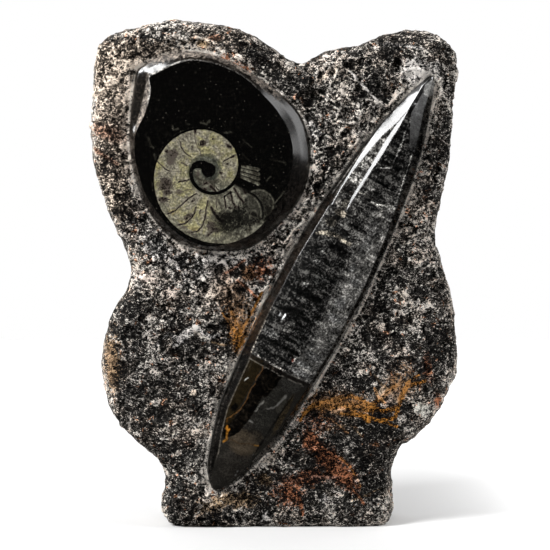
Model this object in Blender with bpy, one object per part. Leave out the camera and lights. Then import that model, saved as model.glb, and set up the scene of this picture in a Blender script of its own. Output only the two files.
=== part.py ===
"""A display piece of black fossil limestone. A hewn block stands on a flat foot, and two polished
shells stand proud of its front face: a long straight orthoceras and a coiled goniatite.

X runs to the right across the face, Y runs from the face to the back, and Z is up.
"""

import math

import bmesh
import bpy
from mathutils import Vector, noise

MM = 0.001
GAP = 0.3 * MM  # between a shell and the pocket that it sits in
CUTTER_REACH = 30 * MM  # how far a pocket's cutter stands out in front of the face

# The block. Its face is at Y = 0 until the whole piece is centred.
FOOT_DEPTH = 62 * MM
HEAD_DEPTH = 45 * MM
FOOT_FLARE = 5 * MM
STONE_HEIGHT = 300 * MM
SHOULDER_HEIGHT = 60 * MM  # the foot's flare at the back has eased off by this height
FACE_ROUND = 6 * MM  # the chipped edge round the face
BACK_ROUND = 11 * MM  # the coarser edge round the back
HEWN_SIZE = 19 * MM  # across one blow of the point chisel on the rough block
HEWN_DEPTH = 1.4 * MM
STONE_STEP = 5 * MM  # between the corners of its outline
STONE_CELL = 7.4 * MM  # the facets of the hewn surface
SOFTENING_PASSES = 2  # take the crispness off the block's edges

# The coiled shell: a flat polished top with a bevelled rim.
GONIATITE_PROUD = 8.5 * MM
GONIATITE_SET = 7 * MM  # how far it goes into the stone
GONIATITE_STEP = 6 * MM  # between the corners of its outline
GONIATITE_RIM = ((1.2 * MM, 4.2 * MM), (2.2 * MM, 3.0 * MM), (2.4 * MM, 1.3 * MM))  # inset, rise

# The straight shell: a spindle with steep flanks and a low crowned top.
ORTHOCERAS_TIP = Vector((-36.4 * MM, 0, 22.9 * MM))
ORTHOCERAS_POINT = Vector((91.0 * MM, 0, 264.7 * MM))
ORTHOCERAS_PROUD = 11 * MM
ORTHOCERAS_SET = 8 * MM
ORTHOCERAS_FLANK = 0.16  # the steep flank's share of the half width
ORTHOCERAS_SHOULDER = 0.66  # how high the flank rises, as a share of the crown
ORTHOCERAS_END_HEIGHT = 0.4  # how high the crown stands at both ends, as a share of the middle
ORTHOCERAS_CROWN = (-1, -0.66, -0.33, 0, 0.33, 0.66, 1)  # the top's corners across its width
ORTHOCERAS_STATIONS = 40

# Half width of the straight shell, as (share of its length from the tip at the foot, half width).
ORTHOCERAS_HALF_WIDTHS = (
    (0.0, 1.2 * MM),
    (0.02, 7.2 * MM),
    (0.05, 11.6 * MM),
    (0.11, 16.6 * MM),
    (0.17, 21.0 * MM),
    (0.29, 23.7 * MM),
    (0.40, 25.4 * MM),
    (0.54, 25.2 * MM),
    (0.66, 22.9 * MM),
    (0.78, 18.8 * MM),
    (0.86, 14.6 * MM),
    (0.95, 7.0 * MM),
    (0.985, 3.4 * MM),
    (1.0, 1.4 * MM),
)

# The block's outline from the front, clockwise from the left ear's outer corner, in millimetres.
STONE_OUTLINE = (
    (-106, 286), (-98, 291), (-85, 294), (-73, 298.5), (-60, 300.5), (-44, 298.5), (-20, 294.5),
    (-9, 288.5), (4, 279.5), (14, 271.5), (21, 269.5), (25, 278), (30, 281.5), (41, 282.5), (56, 288),
    (68, 292), (82, 294.5), (93, 293), (102, 287), (107, 279), (109, 267), (107.5, 257),
    (105, 250), (104.5, 237), (104, 222), (102, 209), (97.5, 188), (93.5, 173), (93.5, 167),
    (97, 157), (101.5, 145), (105, 128), (107, 104), (105, 89), (99, 75), (92, 63), (80, 51.5),
    (68.5, 41), (65, 36), (66.5, 30), (67.5, 20), (69.5, 8), (69, 1), (64, -3), (40, -4),
    (0, -4), (-40, -4), (-61, -3), (-66, 2), (-66.5, 8), (-67, 17), (-62, 28), (-65, 37),
    (-77, 45.5), (-89, 57), (-95.5, 69), (-98.5, 82), (-101, 98), (-99, 116), (-95, 128),
    (-86, 139), (-83, 147), (-84, 157), (-90, 169), (-96, 181), (-100.5, 192), (-104.5, 205),
    (-107, 217), (-109, 234), (-108.5, 262), (-108, 276),
)

# The coiled shell's outline at the stone, clockwise from the mouth of its last whorl.
GONIATITE_OUTLINE = (
    (-80, 269), (-73, 273.5), (-64, 277), (-46, 279), (-31, 275.5), (-17, 268.5), (3, 254.5),
    (14, 243), (18.5, 231), (20.3, 216), (17, 199.5), (9, 186), (-4, 172.5), (-15, 165),
    (-28, 163), (-43, 164), (-55, 167.5), (-66, 175.5), (-76, 190), (-82, 206), (-85, 226),
    (-84, 246), (-82, 260),
)


def smooth_loop(points, step):
    """Points at most a step apart along a smooth closed curve through the given ones."""
    points = [Vector((x * MM, z * MM)) for x, z in points]
    count = len(points)
    found = []
    for i, start in enumerate(points):
        before = points[i - 1]
        end = points[(i + 1) % count]
        after = points[(i + 2) % count]
        pieces = max(1, round((end - start).length / step))
        for k in range(pieces):
            t = k / pieces
            found.append(
                0.5
                * (
                    2 * start
                    + (end - before) * t
                    + (2 * before - 5 * start + 4 * end - after) * t**2
                    + (3 * start - before - 3 * end + after) * t**3
                )
            )
    return found


def grown(loop, amount):
    """A clockwise loop moved outwards all round by an amount, or inwards by a negative one."""
    found = []
    for i, point in enumerate(loop):
        along = (loop[(i + 1) % len(loop)] - loop[i - 1]).normalized()
        found.append(point + Vector((-along.y, along.x)) * amount)
    return found


def half_width(share):
    """The straight shell's half width at a share of its length."""
    for (start, low), (end, high) in zip(ORTHOCERAS_HALF_WIDTHS, ORTHOCERAS_HALF_WIDTHS[1:]):
        if share <= end:
            return low + (high - low) * (share - start) / (end - start)
    return ORTHOCERAS_HALF_WIDTHS[-1][1]


def loft(bm, sections):
    """A closed skin through rings of points that all have the same number of points."""
    ring = [bm.verts.new(point) for point in sections[0]]
    edges = [bm.edges.new((a, b)) for a, b in zip(ring, ring[1:] + ring[:1])]
    bmesh.ops.contextual_create(bm, geom=edges)
    for section in sections[1:]:
        copied = bmesh.ops.extrude_edge_only(bm, edges=edges)["geom"]
        # New vertices come in the order of the edges, so each is matched to the one behind it.
        behind = dict(zip(ring, section))
        fresh = [item for item in copied if isinstance(item, bmesh.types.BMVert)]
        edges = [item for item in copied if isinstance(item, bmesh.types.BMEdge)]
        edges = [edge for edge in edges if edge.verts[0] in fresh and edge.verts[1] in fresh]
        following = {}
        for vert in fresh:
            for edge in vert.link_edges:
                other = edge.other_vert(vert)
                if other in behind:
                    following[other] = vert
        for old, place in behind.items():
            following[old].co = place
        ring = [following[old] for old in ring]
    bmesh.ops.contextual_create(bm, geom=edges)
    bmesh.ops.recalc_face_normals(bm, faces=bm.faces)


def as_object(bm, name):
    """Ends a bmesh as an object in the scene."""
    mesh = bpy.data.meshes.new(name)
    bm.to_mesh(mesh)
    bm.free()
    made = bpy.data.objects.new(name, mesh)
    bpy.context.scene.collection.objects.link(made)
    return made


def apply_modifiers(made):
    """Puts the modified shape into the object's own mesh."""
    bpy.context.view_layer.update()
    graph = bpy.context.evaluated_depsgraph_get()
    mesh = bpy.data.meshes.new_from_object(made.evaluated_get(graph))
    made.modifiers.clear()
    made.data = mesh


def finish(made, colour, roughness, smooth_below):
    """Gives an object its own material and soft shading between facets at a low angle."""
    material = bpy.data.materials.new(made.name)
    material.use_nodes = True
    shader = material.node_tree.nodes["Principled BSDF"]
    shader.inputs["Base Color"].default_value = (*colour, 1.0)
    shader.inputs["Roughness"].default_value = roughness
    shader.inputs["Metallic"].default_value = 0.0
    made.data.materials.clear()
    made.data.materials.append(material)
    made.data.shade_smooth()
    made.data.set_sharp_from_angle(angle=smooth_below)


def back_of_stone(height):
    """How far the block's back lies behind its face. The foot is the deepest part."""
    share = min(1.0, max(0.0, height / SHOULDER_HEIGHT))
    body = FOOT_DEPTH + (HEAD_DEPTH - FOOT_DEPTH) * height / STONE_HEIGHT
    return body + FOOT_FLARE * (1 - share) ** 2


def rough_block():
    """The hewn block before the shells' pockets are cut."""
    loop = smooth_loop(STONE_OUTLINE, STONE_STEP)
    rings = (
        (grown(loop, -FACE_ROUND), lambda z: 0.0),
        (loop, lambda z: FACE_ROUND),
        (loop, lambda z: back_of_stone(z) - BACK_ROUND),
        (grown(loop, -BACK_ROUND), back_of_stone),
    )
    bm = bmesh.new()
    loft(bm, [[(p.x, depth(p.y), p.y) for p in ring] for ring, depth in rings])
    stone = as_object(bm, "matrix_stone")

    facets = stone.modifiers.new("facets", "REMESH")
    facets.mode = "VOXEL"
    facets.voxel_size = STONE_CELL
    apply_modifiers(stone)

    bm = bmesh.new()
    bm.from_mesh(stone.data)
    for _ in range(SOFTENING_PASSES):
        bmesh.ops.smooth_vert(
            bm, verts=bm.verts, factor=0.5, use_axis_x=True, use_axis_y=True, use_axis_z=True
        )
    bm.normal_update()
    for vert in bm.verts:
        blow = noise.noise(vert.co / HEWN_SIZE) + 0.5 * noise.noise(vert.co / HEWN_SIZE * 2.3)
        vert.co += vert.normal * HEWN_DEPTH * blow
    bmesh.ops.bisect_plane(
        bm,
        geom=bm.verts[:] + bm.edges[:] + bm.faces[:],
        dist=0.01 * MM,
        plane_co=(0, 0, 0),
        plane_no=(0, 0, -1),
        clear_outer=True,
    )
    bmesh.ops.holes_fill(bm, edges=[edge for edge in bm.edges if edge.is_boundary], sides=0)
    bmesh.ops.recalc_face_normals(bm, faces=bm.faces)
    bm.to_mesh(stone.data)
    bm.free()
    return stone


def goniatite():
    """The coiled shell, with its rim bevelled in three steps to the flat polished top."""
    rise = sum(step for _, step in GONIATITE_RIM)
    loop = smooth_loop(GONIATITE_OUTLINE, GONIATITE_STEP)
    depths = (GONIATITE_SET, rise - GONIATITE_PROUD)
    bm = bmesh.new()
    loft(bm, [[(p.x, depth, p.y) for p in loop] for depth in depths])
    bm.normal_update()
    top = min(bm.faces, key=lambda face: face.normal.y)
    for inset, step in GONIATITE_RIM:
        bmesh.ops.inset_region(bm, faces=[top], thickness=inset, depth=step, use_even_offset=True)
    return as_object(bm, "goniatite")


def orthoceras_frame():
    """The straight shell's axis, the direction across it, and its length."""
    run = ORTHOCERAS_POINT - ORTHOCERAS_TIP
    along = run.normalized()
    return along, Vector((along.z, 0, -along.x)), run.length


def orthoceras():
    """The straight shell: sections that swell and narrow along its axis."""
    along, across, length = orthoceras_frame()
    widest = max(half for _, half in ORTHOCERAS_HALF_WIDTHS)
    sections = []
    for i in range(ORTHOCERAS_STATIONS + 1):
        # Stations crowd together at both ends, where the outline turns fastest.
        even = i / ORTHOCERAS_STATIONS
        share = (even + (1 - math.cos(math.pi * even)) / 2) / 2
        half = half_width(share)
        fullness = half / widest
        crown = ORTHOCERAS_PROUD * (ORTHOCERAS_END_HEIGHT + (1 - ORTHOCERAS_END_HEIGHT) * fullness)
        shoulder = crown * ORTHOCERAS_SHOULDER
        profile = [(-1, -ORTHOCERAS_SET), (-1, 0)]
        for side in ORTHOCERAS_CROWN:
            place = side * (1 - ORTHOCERAS_FLANK)
            profile.append((place, shoulder + (crown - shoulder) * (1 - side**2)))
        profile += [(1, 0), (1, -ORTHOCERAS_SET)]
        centre = ORTHOCERAS_TIP + along * share * length
        sections.append([centre + across * half * t - Vector((0, rise, 0)) for t, rise in profile])
    bm = bmesh.new()
    loft(bm, sections)
    return as_object(bm, "orthoceras")


def orthoceras_loop():
    """The straight shell's outline where it meets the stone, clockwise from the front."""
    along, across, length = orthoceras_frame()
    left, right = [], []
    for share, half in ORTHOCERAS_HALF_WIDTHS:
        centre = ORTHOCERAS_TIP + along * share * length
        left.append(centre - across * half)
        right.append(centre + across * half)
    return [Vector((p.x, p.z)) for p in left + right[::-1]]


def pocket_cutter(name, loop, floor):
    """What cuts a shell's pocket: its outline with the gap all round, from floor to open air."""
    bm = bmesh.new()
    wide = grown(loop, GAP)
    loft(bm, [[(p.x, depth, p.y) for p in wide] for depth in (floor + GAP, -CUTTER_REACH)])
    cutter = as_object(bm, name)
    cutter.hide_render = True
    cutter.display_type = "WIRE"
    return cutter


def cut_pocket(stone, cutter):
    pocket = stone.modifiers.new(cutter.name, "BOOLEAN")
    pocket.operation = "DIFFERENCE"
    pocket.solver = "EXACT"
    pocket.object = cutter


def centre_on_foot(objects):
    """Moves everything so that the foot is at Z = 0 and the box is centred above the origin."""
    corners = [vert.co for made in objects if not made.hide_render for vert in made.data.vertices]
    low = Vector([min(co[k] for co in corners) for k in range(3)])
    high = Vector([max(co[k] for co in corners) for k in range(3)])
    shift = Vector((-(low.x + high.x) / 2, -(low.y + high.y) / 2, -low.z))
    for made in objects:
        made.location = shift


def main():
    for old in list(bpy.data.objects):
        bpy.data.objects.remove(old)

    stone = rough_block()
    coiled = goniatite()
    straight = orthoceras()
    cutters = [
        pocket_cutter(
            "goniatite_pocket", smooth_loop(GONIATITE_OUTLINE, GONIATITE_STEP), GONIATITE_SET
        ),
        pocket_cutter("orthoceras_pocket", orthoceras_loop(), ORTHOCERAS_SET),
    ]
    for cutter in cutters:
        cut_pocket(stone, cutter)

    finish(stone, (0.09, 0.085, 0.08), 0.85, 0.6)
    finish(coiled, (0.02, 0.02, 0.018), 0.12, 0.5)
    finish(straight, (0.05, 0.05, 0.048), 0.15, 0.5)
    centre_on_foot([stone, coiled, straight, *cutters])


main()
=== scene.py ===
# A display piece of black fossil limestone, standing on its foot: a hewn block, and a straight and a
# coiled shell polished in relief. Everything is in metres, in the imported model's own frame.
import math

import bmesh
import bpy
import numpy as np
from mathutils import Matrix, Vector, noise
from mathutils.bvhtree import BVHTree


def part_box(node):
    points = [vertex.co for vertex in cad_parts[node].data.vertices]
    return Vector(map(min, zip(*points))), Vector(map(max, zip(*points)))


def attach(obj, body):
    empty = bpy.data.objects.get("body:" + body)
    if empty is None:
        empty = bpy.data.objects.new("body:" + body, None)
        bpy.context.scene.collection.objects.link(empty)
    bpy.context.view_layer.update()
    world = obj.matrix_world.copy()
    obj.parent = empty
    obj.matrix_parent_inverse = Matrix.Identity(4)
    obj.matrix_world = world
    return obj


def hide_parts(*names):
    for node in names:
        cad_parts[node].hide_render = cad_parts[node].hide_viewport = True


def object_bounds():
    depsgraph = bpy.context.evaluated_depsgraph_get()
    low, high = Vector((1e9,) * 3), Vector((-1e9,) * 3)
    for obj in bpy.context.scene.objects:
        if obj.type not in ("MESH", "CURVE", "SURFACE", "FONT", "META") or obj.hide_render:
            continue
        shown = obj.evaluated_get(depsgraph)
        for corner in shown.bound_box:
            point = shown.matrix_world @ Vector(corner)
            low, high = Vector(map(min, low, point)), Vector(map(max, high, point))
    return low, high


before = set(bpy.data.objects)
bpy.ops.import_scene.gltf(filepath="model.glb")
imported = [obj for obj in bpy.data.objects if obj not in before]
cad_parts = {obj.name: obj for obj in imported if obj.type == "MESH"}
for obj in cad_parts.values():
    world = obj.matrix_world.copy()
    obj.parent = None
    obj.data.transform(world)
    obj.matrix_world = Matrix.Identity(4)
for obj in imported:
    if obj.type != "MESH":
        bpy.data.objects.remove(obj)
noise.seed_set(11)  # noise vectors start from the clock unless they are given a seed
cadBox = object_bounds()
print("frame loaded:", ", ".join(sorted(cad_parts)))


class Wire:
    # A node's output, so that shader maths is written as plain arithmetic.
    def __init__(self, tree, socket=None):
        self.tree = tree
        self.socket = socket

    def node(self, kind, settings=None, sockets=None, output=0):
        made = self.tree.nodes.new(kind)
        for name, value in (settings or {}).items():
            setattr(made, name, value)
        for name, value in (sockets or {}).items():
            if isinstance(value, Wire):
                self.tree.links.new(value.socket, made.inputs[name])
            else:
                made.inputs[name].default_value = value
        return Wire(self.tree, made.outputs[output])

    def maths(self, operation, *terms):
        return self.node("ShaderNodeMath", {"operation": operation}, dict(enumerate(terms)))

    def __add__(self, other):
        return self.maths("ADD", self, other)

    def __radd__(self, other):
        return self.maths("ADD", other, self)

    def __sub__(self, other):
        return self.maths("SUBTRACT", self, other)

    def __rsub__(self, other):
        return self.maths("SUBTRACT", other, self)

    def __mul__(self, other):
        return self.maths("MULTIPLY", self, other)

    def __rmul__(self, other):
        return self.maths("MULTIPLY", other, self)

    def __truediv__(self, other):
        return self.maths("DIVIDE", self, other)

    def __pow__(self, other):
        return self.maths("POWER", self, other)

    def __abs__(self):
        return self.maths("ABSOLUTE", self)


def newMaterial(name):
    material = bpy.data.materials.new(name)
    material.use_nodes = True
    return material, Wire(material.node_tree)


def finishMaterial(material, colour, roughness, normal=None):
    shader = material.node_tree.nodes["Principled BSDF"]
    for name, value in (("Base Color", colour), ("Roughness", roughness), ("Normal", normal)):
        if isinstance(value, Wire):
            material.node_tree.links.new(value.socket, shader.inputs[name])
        elif value is not None:
            shader.inputs[name].default_value = value
    return shader


def grain(wire, place, size, detail=3.0, roughness=0.55, warp=0.0):
    # Cloudy noise from 0 to 1 whose lumps are about the given size across.
    settings = {"noise_dimensions": "3D", "normalize": True}
    sockets = {
        "Vector": place,
        "Scale": 1 / size,
        "Detail": detail,
        "Roughness": roughness,
        "Distortion": warp,
    }
    return wire.node("ShaderNodeTexNoise", settings, sockets)


def cells(wire, place, size, feature="F1", output="Distance"):
    settings = {"voronoi_dimensions": "3D", "feature": feature}
    return wire.node("ShaderNodeTexVoronoi", settings, {"Vector": place, "Scale": 1 / size}, output)


def curledLines(wire, place, size, level, width, warp):
    # Thin closed lines, like the contours of a cloud.
    cloud = grain(wire, place, size, 1.0, 0.4, warp)
    return ease(wire, abs(cloud - level), width * 0.35, width, 1.0, 0.0)


def strokes(wire, place, size, gap, warp, turn, squash):
    # Curved strokes side by side, which follow the contours of a cloud drawn out along one direction.
    turned = wire.node(
        "ShaderNodeMapping", None, {"Vector": place, "Rotation": (0, turn, 0), "Scale": (1, 1, squash)}
    )
    cloud = grain(wire, turned, size, 0.6, 0.5, warp)
    return ease(wire, wire.maths("PINGPONG", cloud, gap), gap * 0.68, gap * 0.92)


def ease(wire, value, low, high, bottom=0.0, top=1.0):
    # Runs smoothly from bottom to top as the value goes from low to high.
    sockets = {"Value": value, 1: low, 2: high, 3: bottom, 4: top}
    return wire.node("ShaderNodeMapRange", {"interpolation_type": "SMOOTHSTEP"}, sockets)


def blend(wire, first, second, share, how="MIX"):
    settings = {"data_type": "RGBA", "blend_type": how, "clamp_factor": True}
    colours = [c if isinstance(c, Wire) else (*c, 1.0) for c in (first, second)]
    return wire.node("ShaderNodeMix", settings, {0: share, 6: colours[0], 7: colours[1]}, 2)


def dimmed(wire, colour, level):
    # A colour times a level of light.
    grey = wire.node("ShaderNodeCombineColor", None, {0: level, 1: level, 2: level})
    return blend(wire, colour, grey, 1.0, "MULTIPLY")


def larger(first, second):
    return first.maths("MAXIMUM", first, second)


def carry(wire, name, output="Fac"):
    return wire.node("ShaderNodeAttribute", {"attribute_name": name}, None, output)


def addObject(name, mesh):
    made = bpy.data.objects.new(name, mesh)
    bpy.context.scene.collection.objects.link(made)
    return made


def closeUp(bm):
    # Fills the open rims, turns every face outward and counts the rims' edges.
    rims = [edge for edge in bm.edges if edge.is_boundary]
    bmesh.ops.holes_fill(bm, edges=rims, sides=0)
    bmesh.ops.recalc_face_normals(bm, faces=bm.faces)
    return len(rims)


def endMesh(bm, name):
    mesh = bpy.data.meshes.new(name)
    bm.to_mesh(mesh)
    bm.free()
    return addObject(name, mesh)


def wandering(places, size):
    # A smooth random direction at each place.
    return np.array([noise.noise_vector(Vector(place) / size) for place in places])


def placesOf(mesh):
    found = np.empty(len(mesh.vertices) * 3)
    mesh.vertices.foreach_get("co", found)
    return found.reshape(-1, 3)


def paint(mesh, name, values):
    # Stores one number or one colour for each vertex.
    values = np.asarray(values, dtype=np.float32)
    if values.ndim == 1:
        layer = mesh.attributes.new(name, "FLOAT", "POINT")
        layer.data.foreach_set("value", values)
    else:
        layer = mesh.attributes.new(name, "FLOAT_COLOR", "POINT")
        layer.data.foreach_set("color", values.reshape(-1))


def smoothStep(values, low, high):
    share = np.clip((values - low) / (high - low), 0, 1)
    return share * share * (3 - 2 * share)


def between(values, start, full, fading, gone):
    # 1 from full to fading, falling softly to 0 at start and gone.
    return smoothStep(values, start, full) * (1 - smoothStep(values, fading, gone))


def bell(values, middle, spread):
    # 1 at the middle value, falling off softly on both sides of it.
    return np.exp(-(((values - middle) / spread) ** 2))


millimetre = 0.001
sameSpot = 0.00001  # corners closer than this are one
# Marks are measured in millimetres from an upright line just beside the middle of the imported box.
coilReach, coilRise = 0.085, 0.0085  # from the coiled shell's box to that line and to the stone's face
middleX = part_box("goniatite")[0].x + coilReach
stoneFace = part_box("goniatite")[0].y + coilRise

neutral, warm, rust = (1.07, 0.993, 0.90), (1.20, 0.97, 0.76), (1.95, 0.76, 0.36)
orange, ochre, pale = (1.98, 0.83, 0.13), (1.38, 0.95, 0.55), (1.05, 1.0, 0.96)
amber, russet, cream = (1.6, 0.9, 0.45), (1.6, 0.85, 0.42), (1.2, 0.99, 0.85)
# Attributes hold colours up to 1, so hues are stored at a third of their strength.
hueScale = 3
cleanHue = tuple(part / hueScale for part in neutral)

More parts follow.
